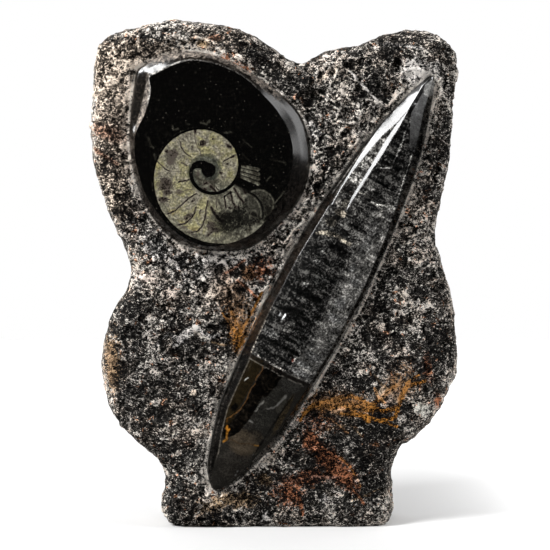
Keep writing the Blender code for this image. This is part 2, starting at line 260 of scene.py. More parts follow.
# The hewn block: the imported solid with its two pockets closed, cut up finely where the face shows.
stone = {
    "pocketReach": 0.0011,  # the pockets' walls lie this close to the shells
    "cell": 0.0029,
    "settle": 3,  # smoothing passes that take out the coarse cells
    "underShell": 0.0022,  # this far inside a shell's outline the hidden stone has dropped fully
    "hiddenDrop": 0.0035,
    "besideDrop": 0.0011,  # how far the rock lies back round the shells, so that their bevels show
    # Each pair is a size across, then a reach, a height or a lean.
    "bends": ((0.006, 0.0018), (0.0022, 0.0006)),
    "broad": (0.036, 0.0013),
    "chips": ((0.0125, 0.17), (0.0056, 0.24)),
    "scoops": ((0.0105, 0.0024), (0.0050, 0.0012)),
    "crumbs": (0.0023, 0.00055),
    "topTrim": 0.0018,
    # Where the mesh is made finer: the least facing, then how deep behind the front.
    "finer": ((0.3, 0.013), (-0.55, 0.0066)),
    "finerUnder": 0.0018,  # and how far inside a shell's outline
    "besideBand": (-0.0042, -0.0004),  # from the shells' outlines, where the rock lies back
    "bump": 0.0013,
    "shine": 0.06,
    # Height above the floor, then how far the outline is let out to the left and right, in millimetres.
    "trims": (
        (0, 2.0, 1.5), (20, 0.8, 0.6), (40, 2.5, 2.0), (60, 3.6, 2.6), (85, 2.6, 1.6), (120, 0.8, 0.4),
        (160, 0.3, -0.6), (220, -0.2, -1.6), (270, -1.4, -1.6), (300, -2.0, -1.6),
    ),
    # In millimetres: x, z and reach, then a depth or a share.
    "dents": (
        (20, 253, 8, 2.6), (28, 255, 6, 2.2), (42, 246, 7, 2.4), (48, 258, 6, 2.4), (67, 257, 7, 3.0),
        (70, 271, 6, 2.6), (-44, 148, 8, 1.4), (-20, 128, 7, 1.2), (-60, 128, 7, 1.3), (-99, 214, 6, 1.6),
        (96, 216, 7, 1.4), (60, 128, 10, 1.0),
    ),
    "calm": (  # places where the face is flatter
        (60, 62, 46, 0.62), (30, 25, 50, 0.55), (96, 100, 30, 0.4), (-62, 62, 36, 0.55),
        (80, 289, 15, 0.9), (-72, 278, 14, 0.35), (-80, 84, 24, 0.5),
    ),
    "rugged": (  # places where the chisel bit deeper
        (-34, 148, 46, 0.8), (8, 158, 34, 0.8), (26, 222, 34, 0.9), (44, 250, 34, 1.0),
        (26, 266, 22, 0.8), (-62, 122, 26, 0.4), (92, 160, 26, 0.4), (-6, 118, 24, 0.5),
    ),
    # How large the rock's clouds, lumps, chips and lines are, in metres.
    "cloudSize": 0.024,
    "lumpSize": 0.0062,
    "crustSize": 0.0034,
    "sandSize": 0.00095,
    "chipSize": 0.0078,
    "smallChipSize": 0.0043,
    "curlSize": 0.0056,
    "smallCurlSize": 0.0034,
    "ringSize": 0.0085,
    "brownSize": 0.011,
    "rustySize": 0.0042,
    # The chips' outlines wander by this much, over lumps this size.
    "wander": 0.0034,
    "wanderSize": 0.00625,
    # The logarithm of the brightness is scaled and raised.
    "contrast": 1.12,
    "lighter": 0.45,
    "brightest": 0.8,
    "brown": (0.40, 0.325, 0.262),
    "rusty": (0.60, 0.275, 0.13),
    "roughness": (0.5, 0.85),
    # In millimetres: x, z, reach across and up; then turn in degrees, hue, how much, how much lighter.
    "spots": (
        # The first four warm spots, lighter over the upper left, are partly stain and partly painted
        # light where the key lamp falls.
        (-92, 262, 30, 34, 0, warm, 1.0, 0.75), (-84, 236, 22, 30, 0, warm, 0.9, 0.45),
        (-96, 204, 16, 40, 0, warm, 1.0, 0.1), (-70, 279, 34, 9, 0, warm, 0.7, 0.4),
        (-30, 285, 30, 8, -8, warm, 0.5, 0.25), (-97, 232, 11, 5, -20, rust, 0.8, -0.3),
        (-42.5, 283.5, 4.5, 2.5, -10, (1.5, 0.98, 0.45), 1.0, 1.6),
        (-31, 274.5, 5, 3, 30, rust, 0.75, 0.2), (-35, 288, 5, 3, 0, rust, 0.6, 0.1),
        (-14, 293, 9, 3, -20, rust, 0.75, 0.1), (-20, 270, 6, 2.5, -30, rust, 0.7, 0.2),
        (-96, 97, 7, 20, 0, (1.45, 0.95, 0.55), 0.9, -0.8),
        (-23, 132, 11, 28, 26, (1.5, 0.9, 0.5), 0.55, 0.05), (-20, 110, 6, 22, 24, orange, 0.75, 0.25),
        (-8, 152, 8, 8, 0, rust, 0.5, -0.6), (-38, 140, 12, 8, 0, warm, 0.6, 0.25),
        (-16, 150.5, 5, 5, 0, russet, 1.0, -1.3), (21, 51, 6, 9, 30, rust, 0.9, -1.2),
        (30, 42, 11, 7, -40, rust, 1.0, -1.3), (40, 31, 11, 7, -45, rust, 1.0, -1.3),
        (17, 29, 18, 5, 12, rust, 0.75, -1.4), (8, 20, 9, 8, 0, rust, 0.6, -1.0),
        (36, 74, 22, 8, 0, amber, 0.75, 0.35), (72, 84, 9, 15, -30, amber, 0.6, 0.2),
        (26, 62, 12, 8, 0, rust, 0.3, 0.0), (-22, 17, 16, 6, 0, ochre, 0.8, -0.1),
        (-7, 29, 6, 4.5, 0, ochre, 0.9, 0.45), (-38, 13, 14, 8, 20, ochre, 0.4, 0.0),
        (67, 18, 3.5, 22, 0, neutral, 0.0, 1.2), (30, 1.5, 44, 2.4, 0, neutral, 0.0, 0.9),
        (85.5, 70, 6.5, 5.5, -20, (1.02, 1.0, 0.9), 1.0, 1.2), (83, 85, 11, 9, 0, neutral, 0.0, -0.9),
        (95, 73, 2.5, 8, 10, rust, 0.9, 0.1), (89, 95, 3, 9, 10, rust, 0.5, 0.1),
        (68, 77, 5, 6, -20, pale, 0.6, 0.3), (61, 80, 4, 5, 30, (1.3, 1.0, 0.7), 1.0, 1.0),
        (-54, 113, 13, 4.5, 40, pale, 1.0, 0.3), (-6, 6.5, 4, 5, 0, pale, 1.0, 1.1),
        (28, 18, 4, 4, 0, pale, 0.9, 0.9), (48, 28, 3, 3, 0, pale, 1.0, 1.2),
        (82, 267, 12, 11, -50, pale, 1.0, 1.4), (93, 268, 6, 7, 0, pale, 1.0, 0.9),
        (39, 257, 5, 9, -25, (1.1, 0.98, 0.86), 1.0, 0.6),
        (29, 279, 7, 3.5, 15, (1.12, 0.98, 0.88), 1.0, 1.35), (30, 266, 10, 4, 30, warm, 0.8, 0.35),
        (78, 289, 17, 5, 8, (1.1, 0.97, 0.85), 1.0, -0.7), (-46, 175, 9, 5, -40, pale, 0.9, 0.5),
        (-70, 165, 14, 9, -40, pale, 0.7, 0.35), (-32, 158, 16, 5, 0, pale, 0.8, 0.5),
        (20, 235, 10, 6, -50, pale, 0.8, 0.6), (100, 235, 10, 40, 0, neutral, 0.5, -0.25),
        (0, 8, 90, 7, 0, neutral, 0.0, -0.1), (62, 45, 40, 25, 20, neutral, 0.0, -0.2),
        (-61, 138, 8, 5, -30, cream, 1.0, 0.3), (-74.5, 147, 9, 5, -25, cream, 1.0, 0.3),
        (-70.5, 92, 6.5, 5, 0, (1.1, 1.0, 0.9), 1.0, 0.1), (-48, 80, 3, 3, 0, warm, 1.0, 0.9),
        (-36, 38, 8, 12, -10, pale, 0.7, 0.2), (-36, 84, 6, 9, -20, neutral, 0.2, -0.5),
        (0, 14, 92, 24, 0, neutral, 0.0, -0.5), (84, 279, 16, 7, 10, neutral, 0.0, 0.8),
        (-94, 170, 12, 50, 0, neutral, 0.0, -1.3), (-46, 152, 32, 16, -25, pale, 0.5, 0.65),
        (84, 250, 20, 34, -10, neutral, 0.2, 0.75), (-84, 262, 30, 30, 0, warm, 0.3, 0.35),
        (32, 225, 30, 28, 0, neutral, 0.0, -0.6), (-72, 84, 30, 44, 0, neutral, 0.0, 0.25),
        (80, 165, 24, 40, 0, neutral, 0.0, 0.3), (-40, 146, 10, 3, 60, neutral, 0.3, -0.8),
        (-25, 154, 5, 7, 20, neutral, 0.3, -0.9), (-62, 126, 10, 4, -20, neutral, 0.3, -0.7),
        (-30, 120, 9, 5, 20, neutral, 0.3, -0.7), (-52, 124, 9, 1.6, 40, neutral, 0.3, -1.4),
        (-50, 103, 9, 2.5, 40, neutral, 0.3, -0.9),
    ),
    # Paths of x and z, width, hue, how much of it, and how much lighter.
    "veins": (
        (((14.5, 64), (18, 68.5), (22, 71.5), (27, 73)), 0.7, orange, 1.0, 0.8),
        (((26, 74), (36, 75.5), (44, 78), (50, 76), (56, 73)), 0.9, orange, 1.0, 0.8),
        (((-31, 127), (-27, 121), (-24, 116)), 0.6, orange, 1.0, 0.6),
        (((-26, 128), (-22, 120), (-20, 114)), 0.6, orange, 1.0, 0.6),
        (((-24, 110), (-19, 118), (-13, 129), (-8, 139)), 0.6, orange, 1.0, 0.7),
        (((-38, 110), (-30, 108), (-22, 111)), 0.5, ochre, 0.9, 0.6),
        (((-22, 146), (-16, 141), (-11, 136)), 0.6, rust, 0.9, 0.4),
        (((-30, 150), (-24, 153), (-18, 158)), 0.6, rust, 0.9, 0.4),
        (((38, 68), (50, 66.5), (61, 63.5), (70, 65), (73, 74), (77, 84), (87, 87)),
         0.9, orange, 1.0, 0.7),
        (((58, 83), (60, 78), (64, 74)), 0.6, orange, 1.0, 0.6),
        (((25, 67), (34, 63.5), (43, 56)), 0.5, (1.6, 0.85, 0.4), 0.9, 0.3),
        (((16, 68), (22, 73.5), (30, 76), (38, 78)), 0.6, orange, 0.9, 0.4),
        (((27, 71), (34, 72), (42, 73), (50, 72), (56, 70)), 1.9, orange, 0.7, 0.1),
        (((31, 71), (37, 72.5), (44, 70.5), (50, 66.5), (55, 63)), 1.0, orange, 0.95, 0.55),
        (((29, 70), (34, 69), (40, 70)), 1.0, (1.45, 0.93, 0.6), 1.0, 1.1),
        (((56, 71), (64, 69), (70, 71)), 1.2, orange, 0.9, 0.2),
        (((72, 76), (77, 86), (84, 91)), 0.5, orange, 1.0, 0.9),
        (((58, 74), (64, 79), (70, 84)), 1.2, orange, 0.7, 0.2),
        (((58, 90), (62, 85), (68, 80), (72, 75)), 0.7, ochre, 0.8, 0.5),
        (((50, 68), (58, 64), (66, 62), (71, 60)), 0.7, orange, 0.8, 0.3),
        (((18, 53), (28, 48), (36, 42), (44, 36)), 0.5, rust, 1.0, 0.5),
        (((17, 50), (26, 44), (34, 37), (42, 30)), 0.6, rust, 1.0, 0.4),
        (((38, 42), (44, 36), (48, 29), (50, 25)), 0.5, orange, 0.9, 0.1),
        (((30, 58), (35, 60), (44, 61), (50, 55)), 0.4, ochre, 0.9, 0.6),
        (((36, 33), (42, 28), (49, 24)), 0.5, rust, 1.0, 0.4),
        (((20, 31), (28, 30), (38, 30)), 0.7, (1.5, 0.9, 0.7), 1.0, 0.7),
        (((8, 27), (16, 29), (26, 30)), 0.7, (1.5, 0.9, 0.7), 0.9, 0.5),
        (((30, 37), (40, 28), (48, 20), (52, 14)), 0.6, rust, 0.9, 0.3),
        (((8, 22), (14, 17), (16, 8)), 0.9, rust, 0.8, 0.0),
        (((20, 56), (24, 49), (30, 38)), 0.7, rust, 0.9, 0.2),
        (((43, 268), (50, 260), (59, 251)), 0.7, pale, 1.0, 1.2),
        (((61, 286), (70, 284), (84, 281)), 0.9, pale, 1.0, 0.7),
        (((44, 16), (53, 19.5), (62, 23)), 0.5, ochre, 0.6, 0.2),
        (((-47, 6), (-41, 11), (-37, 15)), 0.6, (1.3, 1.0, 0.75), 1.0, 0.8),
        (((-21, 99), (-16, 112), (-11, 124)), 0.9, orange, 0.7, 0.5),
        (((-18, 108), (-10, 109), (-6, 106)), 0.6, ochre, 0.8, 0.7),
        (((-104, 222), (-99, 218), (-92, 214)), 1.0, rust, 0.7, 0.1),
        (((-52, 110), (-63, 115), (-70, 108)), 1.0, pale, 0.9, 0.7),
        (((-46, 118), (-38, 113), (-32, 114)), 1.0, pale, 0.9, 0.7),
    ),
    # Pale bruises with ragged rims: x, z, reach across and up, turn, and how strong.
    "flecks": (
        (-50, 116, 5.5, 3.0, 30, 1.6), (-58, 110, 6.0, 2.4, 45, 1.6), (-42, 113, 4.6, 1.8, -30, 1.4),
        (64, 73, 3.6, 2.4, 20, 1.0), (58, 85, 2.4, 1.8, -40, 0.9), (38, 71, 3.0, 1.6, 0, 0.8),
        (66, 30, 1.8, 9, 0, 0.8), (64, 10, 3, 3, 0, 0.8), (-70.5, 92, 4.2, 3.2, -20, 1.0),
        (-70.5, 74.5, 4.5, 3.0, 10, 0.85), (-60, 73.5, 1.8, 1.8, 0, 0.9), (-47, 57, 3.0, 1.6, 35, 1.0),
        (-58.5, 44, 4.5, 2.2, 30, 0.85), (-67, 58, 3.0, 2.4, 0, 0.75), (-61, 138, 5.0, 3.0, -30, 0.8),
        (-73.5, 124, 3.6, 3.2, 20, 0.9), (-74.5, 147, 5.5, 2.6, -25, 0.85),
        (-77, 114.5, 2.0, 1.6, 0, 0.9), (-84, 111, 2.0, 1.8, 0, 0.8), (-40, 98, 2.0, 1.4, 0, 0.9),
        (85.4, 69.2, 4.0, 3.4, -20, 2.2), (62, 80, 2.2, 5.0, -25, 0.9), (78, 269, 7.5, 6.5, -50, 1.1),
        (86, 262, 4.0, 8.0, 20, 0.9), (70, 255, 4.0, 1.6, 50, 0.8), (39, 257, 3.4, 7.5, -25, 1.0),
        (29, 279, 5.5, 2.4, 15, 0.8), (-48, 150, 9.0, 3.4, -20, 0.85), (-34, 158, 9.0, 2.6, -10, 0.85),
        (-26, 146, 7.0, 3.0, 20, 0.75), (-60, 156, 8.0, 3.0, -35, 0.8), (-14, 140, 4.0, 2.4, 40, 0.8),
        (-62, 166, 4.0, 3.0, -40, 0.8), (62, 118, 5.0, 2.6, -20, 0.8), (88, 132, 4.0, 3.4, 10, 0.75),
        (74, 104, 4.0, 2.2, 30, 0.7), (52, 92, 3.4, 2.4, 0, 0.75), (-22, 36, 3.0, 5.0, -20, 0.7),
        (-40, 30, 4.0, 2.4, 10, 0.7), (14, 236, 5.0, 2.0, -40, 0.9), (30, 226, 6.0, 2.0, -25, 0.8),
        (22, 212, 5.0, 2.0, -35, 0.8), (48, 222, 4.0, 1.8, 30, 0.7), (-4, 291, 6.0, 2.0, -25, 0.8),
        (-60, 288, 6.0, 2.2, 5, 0.8), (-90, 252, 5.0, 4.0, 20, 0.8), (-88, 226, 4.0, 6.0, 0, 0.8),
        (-80, 272, 5.0, 4.0, 20, 0.9), (48, 28, 1.8, 1.6, 0, 1.0), (23, 48, 2.2, 1.8, 0, 0.9),
        (-6, 6.5, 3.0, 3.0, 0, 0.8), (98, 66, 1.5, 4, 0, 0.6),
    ),
    # Thin pale lines: paths of x and z, width, and how strong.
    "scrapes": (
        (((-66, 103), (-60, 108)), 0.8, 1.0), (((43, 268), (50, 260), (59, 251)), 0.7, 0.8),
        (((59, 245), (66, 249), (78, 263)), 0.8, 0.8), (((44, 16), (53, 19.5), (62, 23)), 0.4, 0.5),
        (((43, 15.6), (48, 17)), 0.7, 0.9),
        # Torn lips where the rock meets the straight shell.
        (((54.3, 138), (44.8, 119.4), (36, 104.8), (25.8, 87.5), (21.3, 78)), 0.55, 0.95),
        (((-4.6, 143), (-8.1, 131.2), (-12.3, 121), (-17.2, 110.8), (-21, 103.6)), 0.8, 0.75),
        (((-24, 97.6), (-28, 86), (-31.8, 74)), 0.55, 0.7),
        (((16.4, 70.6), (12.3, 63), (0.6, 47), (-11.2, 35.2)), 0.6, 0.6),
    ),
    # Places with small ring-shaped fossils: x, z, reach, share.
    "rings": ((62, 60, 48, 1.0), (80, 140, 40, 0.8), (30, 20, 40, 0.8), (-60, 80, 40, 0.45)),
    "dark": -4.05,  # natural logarithm of the plain rock's brightness
}


def shellTree(node):
    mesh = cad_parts[node].data
    return BVHTree.FromPolygons(
        [v.co for v in mesh.vertices], [p.vertices[:] for p in mesh.polygons]
    )


def closedStone():
    bm = bmesh.new()
    bm.from_mesh(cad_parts["matrix_stone"].data)
    bmesh.ops.remove_doubles(bm, verts=bm.verts, dist=sameSpot)
    shells = [shellTree("goniatite"), shellTree("orthoceras")]
    inPocket = []
    for face in bm.faces:
        for shell in shells:
            near = [shell.find_nearest(v.co, stone["pocketReach"])[0] for v in face.verts]
            if None not in near:
                inPocket.append(face)
                break
    bmesh.ops.delete(bm, geom=inPocket, context="FACES")
    rimEdges = closeUp(bm)
    print("stone pockets closed:", len(inPocket), "faces,", rimEdges, "rim edges")
    made = endMesh(bm, "stoneRough")
    even = made.modifiers.new("even", "REMESH")
    even.mode = "VOXEL"
    even.voxel_size = stone["cell"]
    bpy.context.view_layer.update()
    graph = bpy.context.evaluated_depsgraph_get()
    mesh = bpy.data.meshes.new_from_object(made.evaluated_get(graph))
    bpy.data.objects.remove(made)
    return mesh


def outlineOf(node):
    # The outline at the back of an upright-walled shell, as points (x, z) in order round it.
    bm = bmesh.new()
    bm.from_mesh(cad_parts[node].data)
    bmesh.ops.remove_doubles(bm, verts=bm.verts, dist=sameSpot)
    back = max(v.co.y for v in bm.verts)
    level = {v for v in bm.verts if abs(v.co.y - back) < sameSpot}
    rim = [e for e in bm.edges if level.issuperset(e.verts)]
    rim = [e for e in rim if len({abs(f.normal.y) > 0.9 for f in e.link_faces}) == 2]
    edge = min(rim, key=lambda e: e.verts[0].co.x)
    first = vert = edge.verts[0]
    ring = []
    while True:
        ring.append((vert.co.x, vert.co.z))
        vert = edge.other_vert(vert)
        if vert is first:
            break
        edge = next(e for e in vert.link_edges if e in rim and e is not edge)
    bm.free()
    return np.array(ring)


def awayFrom(points, start, end):
    # Distances from points (x, z) to a straight run.
    run = end - start
    share = np.clip(((points - start) @ run) / (run @ run), 0, 1)
    return np.linalg.norm(points - start - share[:, None] * run, axis=1)


def insideBy(places, ring):
    # How far inside the outline each place lies, seen from the front; below 0 outside it.
    points = places[:, [0, 2]]
    nearest = np.full(len(points), np.inf)
    inside = np.zeros(len(points), bool)
    for start, end in zip(ring, np.roll(ring, -1, axis=0)):
        nearest = np.minimum(nearest, awayFrom(points, start, end))
        straddles = (start[1] > points[:, 1]) != (end[1] > points[:, 1])
        rise = end[1] - start[1] if end[1] != start[1] else 1e-12
        crossing = start[0] + (points[:, 1] - start[1]) / rise * (end - start)[0]
        inside ^= straddles & (points[:, 0] < crossing)
    return np.where(inside, nearest, -nearest)


outlines = {node: outlineOf(node) for node in ("goniatite", "orthoceras")}


def underShells(places):
    return np.maximum(*(insideBy(places, ring) for ring in outlines.values()))


def roundShare(places, x, z, across, up=None, turn=0.0):
    # 1 at the middle of an oval place on the face, falling softly to 0 at its rim; sizes in millimetres.
    points = (places[:, [0, 2]] - (middleX, 0)) / millimetre - (x, z)
    angle = math.radians(turn)
    along = points[:, 0] * math.cos(angle) + points[:, 1] * math.sin(angle)
    aside = points[:, 1] * math.cos(angle) - points[:, 0] * math.sin(angle)
    return 1 - smoothStep(np.hypot(along / across, aside / (up or across)), 0.0, 1.25)


def strongest(places, spots):
    # The strongest of some round places, each given as x, z, reach and share.
    found = np.zeros(len(places))
    for x, z, reach, share in spots:
        found = np.maximum(found, share * roundShare(places, x, z, reach))
    return found


def pathShare(places, path, width):
    points = (places[:, [0, 2]] - (middleX, 0)) / millimetre
    path = np.array(path, float)
    near = np.min([awayFrom(points, a, b) for a, b in zip(path, path[1:])], axis=0)
    return 1 - smoothStep(near, width * 0.4, width * 1.8)


def scoopHeight(place, size, depth, shift):
    # Hollows side by side with sharp crests between them.
    near, further = noise.voronoi(place / size + shift)[0][:2]
    return depth * (min(near / further if further else 0.0, 1.0) - 0.55)


def chipHeight(place, size, lean):
    # Flat chips as the chisel leaves them: each cell of the rock is one small tilted plane.
    centre = noise.voronoi(place / size)[1][0]
    tilt = noise.cell_vector(centre * 7.31 + Vector((3.1, 5.7, 9.2))) - Vector((0.5, 0.5, 0.5))
    return (place / size - centre).dot(tilt) * 2 * lean * size


def hewnHeight(place, bite):
    bent = place
    for size, reach in stone["bends"]:
        bent = bent + noise.noise_vector(place / size) * reach
    size, rise = stone["broad"]
    height = rise * noise.noise(place / size)
    for size, lean in stone["chips"]:
        height += chipHeight(bent, size, lean)
    for number, (size, depth) in enumerate(stone["scoops"], 1):
        height += scoopHeight(bent, size, depth, Vector((11.3, 4.7, 2.9)) * number) * (0.75 + bite)
    size, rise = stone["crumbs"]
    return height + rise * (noise.turbulence(place / size, 3, True) - 0.5)


def refine(bm, faces):
    # Unlike a set, a dictionary keeps its order.
    edges = dict.fromkeys(edge for face in faces for edge in face.edges)
    bmesh.ops.subdivide_edges(bm, edges=list(edges), cuts=1, use_grid_fill=True)
    bm.normal_update()
    print("stone refined to", len(bm.faces), "faces")


def blurred(mesh, values, passes):
    # Each vertex takes the mean of its neighbours, a few times over.
    ends = np.empty(len(mesh.edges) * 2, np.int64)
    mesh.edges.foreach_get("vertices", ends)
    first, second = ends.reshape(-1, 2).T
    degree = np.bincount(ends, minlength=len(values))
    for _ in range(passes):
        total = np.bincount(first, values[second], len(values))
        values = (total + np.bincount(second, values[first], len(values))) / degree
    return values


def buildStone():
    mesh = closedStone()
    bm = bmesh.new()
    bm.from_mesh(mesh)
    for _ in range(stone["settle"]):
        bmesh.ops.smooth_vert(
            bm, verts=bm.verts, factor=0.5, use_axis_x=True, use_axis_y=True, use_axis_z=True
        )
    bm.normal_update()
    front = min(v.co.y for v in bm.verts)
    for leastFacing, behind in stone["finer"]:
        depth = underShells(np.array([v.co for v in bm.verts]))
        bm.verts.index_update()
        shown = [
            face
            for face in bm.faces
            if face.normal.y < leastFacing
            and face.calc_center_median().y < front + behind
            and min(depth[v.index] for v in face.verts) < stone["finerUnder"]
        ]
        refine(bm, shown)
    places = np.array([v.co for v in bm.verts])
    normals = np.array([v.normal for v in bm.verts])
    depth = underShells(places)
    facing = smoothStep(-normals[:, 1], 0.1, 0.6)
    hidden = smoothStep(depth, 0.0, stone["underShell"]) * facing
    beside = smoothStep(depth, *stone["besideBand"]) * facing
    calm, rugged = (strongest(places, stone[name]) * facing for name in ("calm", "rugged"))
    heights = np.array([hewnHeight(v.co, bite) for v, bite in zip(bm.verts, rugged)])
    heights *= (1 - calm) * (0.5 + 0.5 * facing)
    for x, z, reach, dip in stone["dents"]:
        heights -= dip * millimetre * roundShare(places, x, z, reach) * facing
    heights = heights * (1 - beside * 0.5) - beside * stone["besideDrop"]
    heights = heights * (1 - hidden) - hidden * stone["hiddenDrop"]
    foot = 1 - smoothStep(places[:, 2], 0.0004, 0.003)
    moved = places + normals * (heights * (1 - foot))[:, None]
    levels, *reaches = np.array(stone["trims"]).T * millimetre
    leftward, rightward = (np.interp(places[:, 2], levels, reach) for reach in reaches)
    aside = np.where(normals[:, 0] < 0, leftward, rightward)
    moved[:, 0] += aside * normals[:, 0] * (1 - facing * 0.5)
    trim = stone["topTrim"] * smoothStep(places[:, 2], 0.24, 0.27)
    moved[:, 2] -= trim * smoothStep(normals[:, 2], 0.1, 0.7)
    moved[:, 2] = np.where(places[:, 2] < 0.0007, 0.0, np.maximum(moved[:, 2], 0.0))
    for vert, place in zip(bm.verts, moved):
        vert.co = place
    made = endMesh(bm, "hewnStone")
    made.data.shade_smooth()
    # The height above a smoothed copy of the surface. The shader lightens crests with it as bruised stone
    # and darkens hollows with it as painted shade.
    for name, passes in (("ridge", 10), ("crest", 2)):
        ridge = heights - blurred(made.data, heights, passes)
        ridge /= np.std(ridge[(facing > 0.9) & (depth < 0)])
        paint(made.data, name, np.clip(ridge, -3, 3) * (1 - hidden))
    paint(made.data, "calm", calm)
    # Faces turned away from the front are painted lighter: partly bruised edges, partly a painted rim
    # highlight.
    paint(made.data, "shoulderBruiseAndHighlight", 1 - smoothStep(-normals[:, 1], 0.55, 0.9))
    paint(made.data, "rugged", rugged)
    outside = -depth / millimetre
    collar = bell(outside, 0.9, 1.0) + 0.5 * bell(outside, 3.6, 0.6)
    paint(made.data, "collar", collar * facing)
    paint(made.data, "scraped", (1 - smoothStep(outside, 3.0, 8.0)) * facing)
    paint(made.data, "ringShare", strongest(places, stone["rings"]) * facing)
    stainStone(made.data, places, facing)
    print("stone built:", len(made.data.polygons), "faces")
    return made


def stainStone(mesh, places, facing):
    weights = np.full(len(places), 1e-6)
    hues = np.tile(np.array(neutral) * 1e-6, (len(places), 1))
    clear = np.ones(len(places))
    lift, deep = np.zeros(len(places)), np.zeros(len(places))
    marks = [(roundShare(places, *mark[:5]), *mark[5:]) for mark in stone["spots"]]
    marks += [(pathShare(places, path, width), *more) for path, width, *more in stone["veins"]]
    for share, hue, much, lighter in marks:
        share = share * facing
        lift += share * lighter
        weights += share * much
        deep += share * much * smoothStep(hue[0] - hue[2], 0.5, 1.1)
        hues += (share * much)[:, None] * np.array(hue)
        clear *= 1 - share * much
    hues /= weights[:, None]
    paint(mesh, "hue", np.column_stack((hues / hueScale, np.ones(len(places)))))
    paint(mesh, "stain", 1 - clear)
    paint(mesh, "lift", lift)
    paint(mesh, "deep", deep / weights)
    fleck = np.zeros(len(places))
    for x, z, across, up, turn, share in stone["flecks"]:
        fleck = np.maximum(fleck, share * roundShare(places, x, z, across * 1.3, up * 1.3, turn))
    for path, width, share in stone["scrapes"]:
        fleck = np.maximum(fleck, share * pathShare(places, path, width))
    paint(mesh, "fleck", fleck * facing)


hewnStone = buildStone()


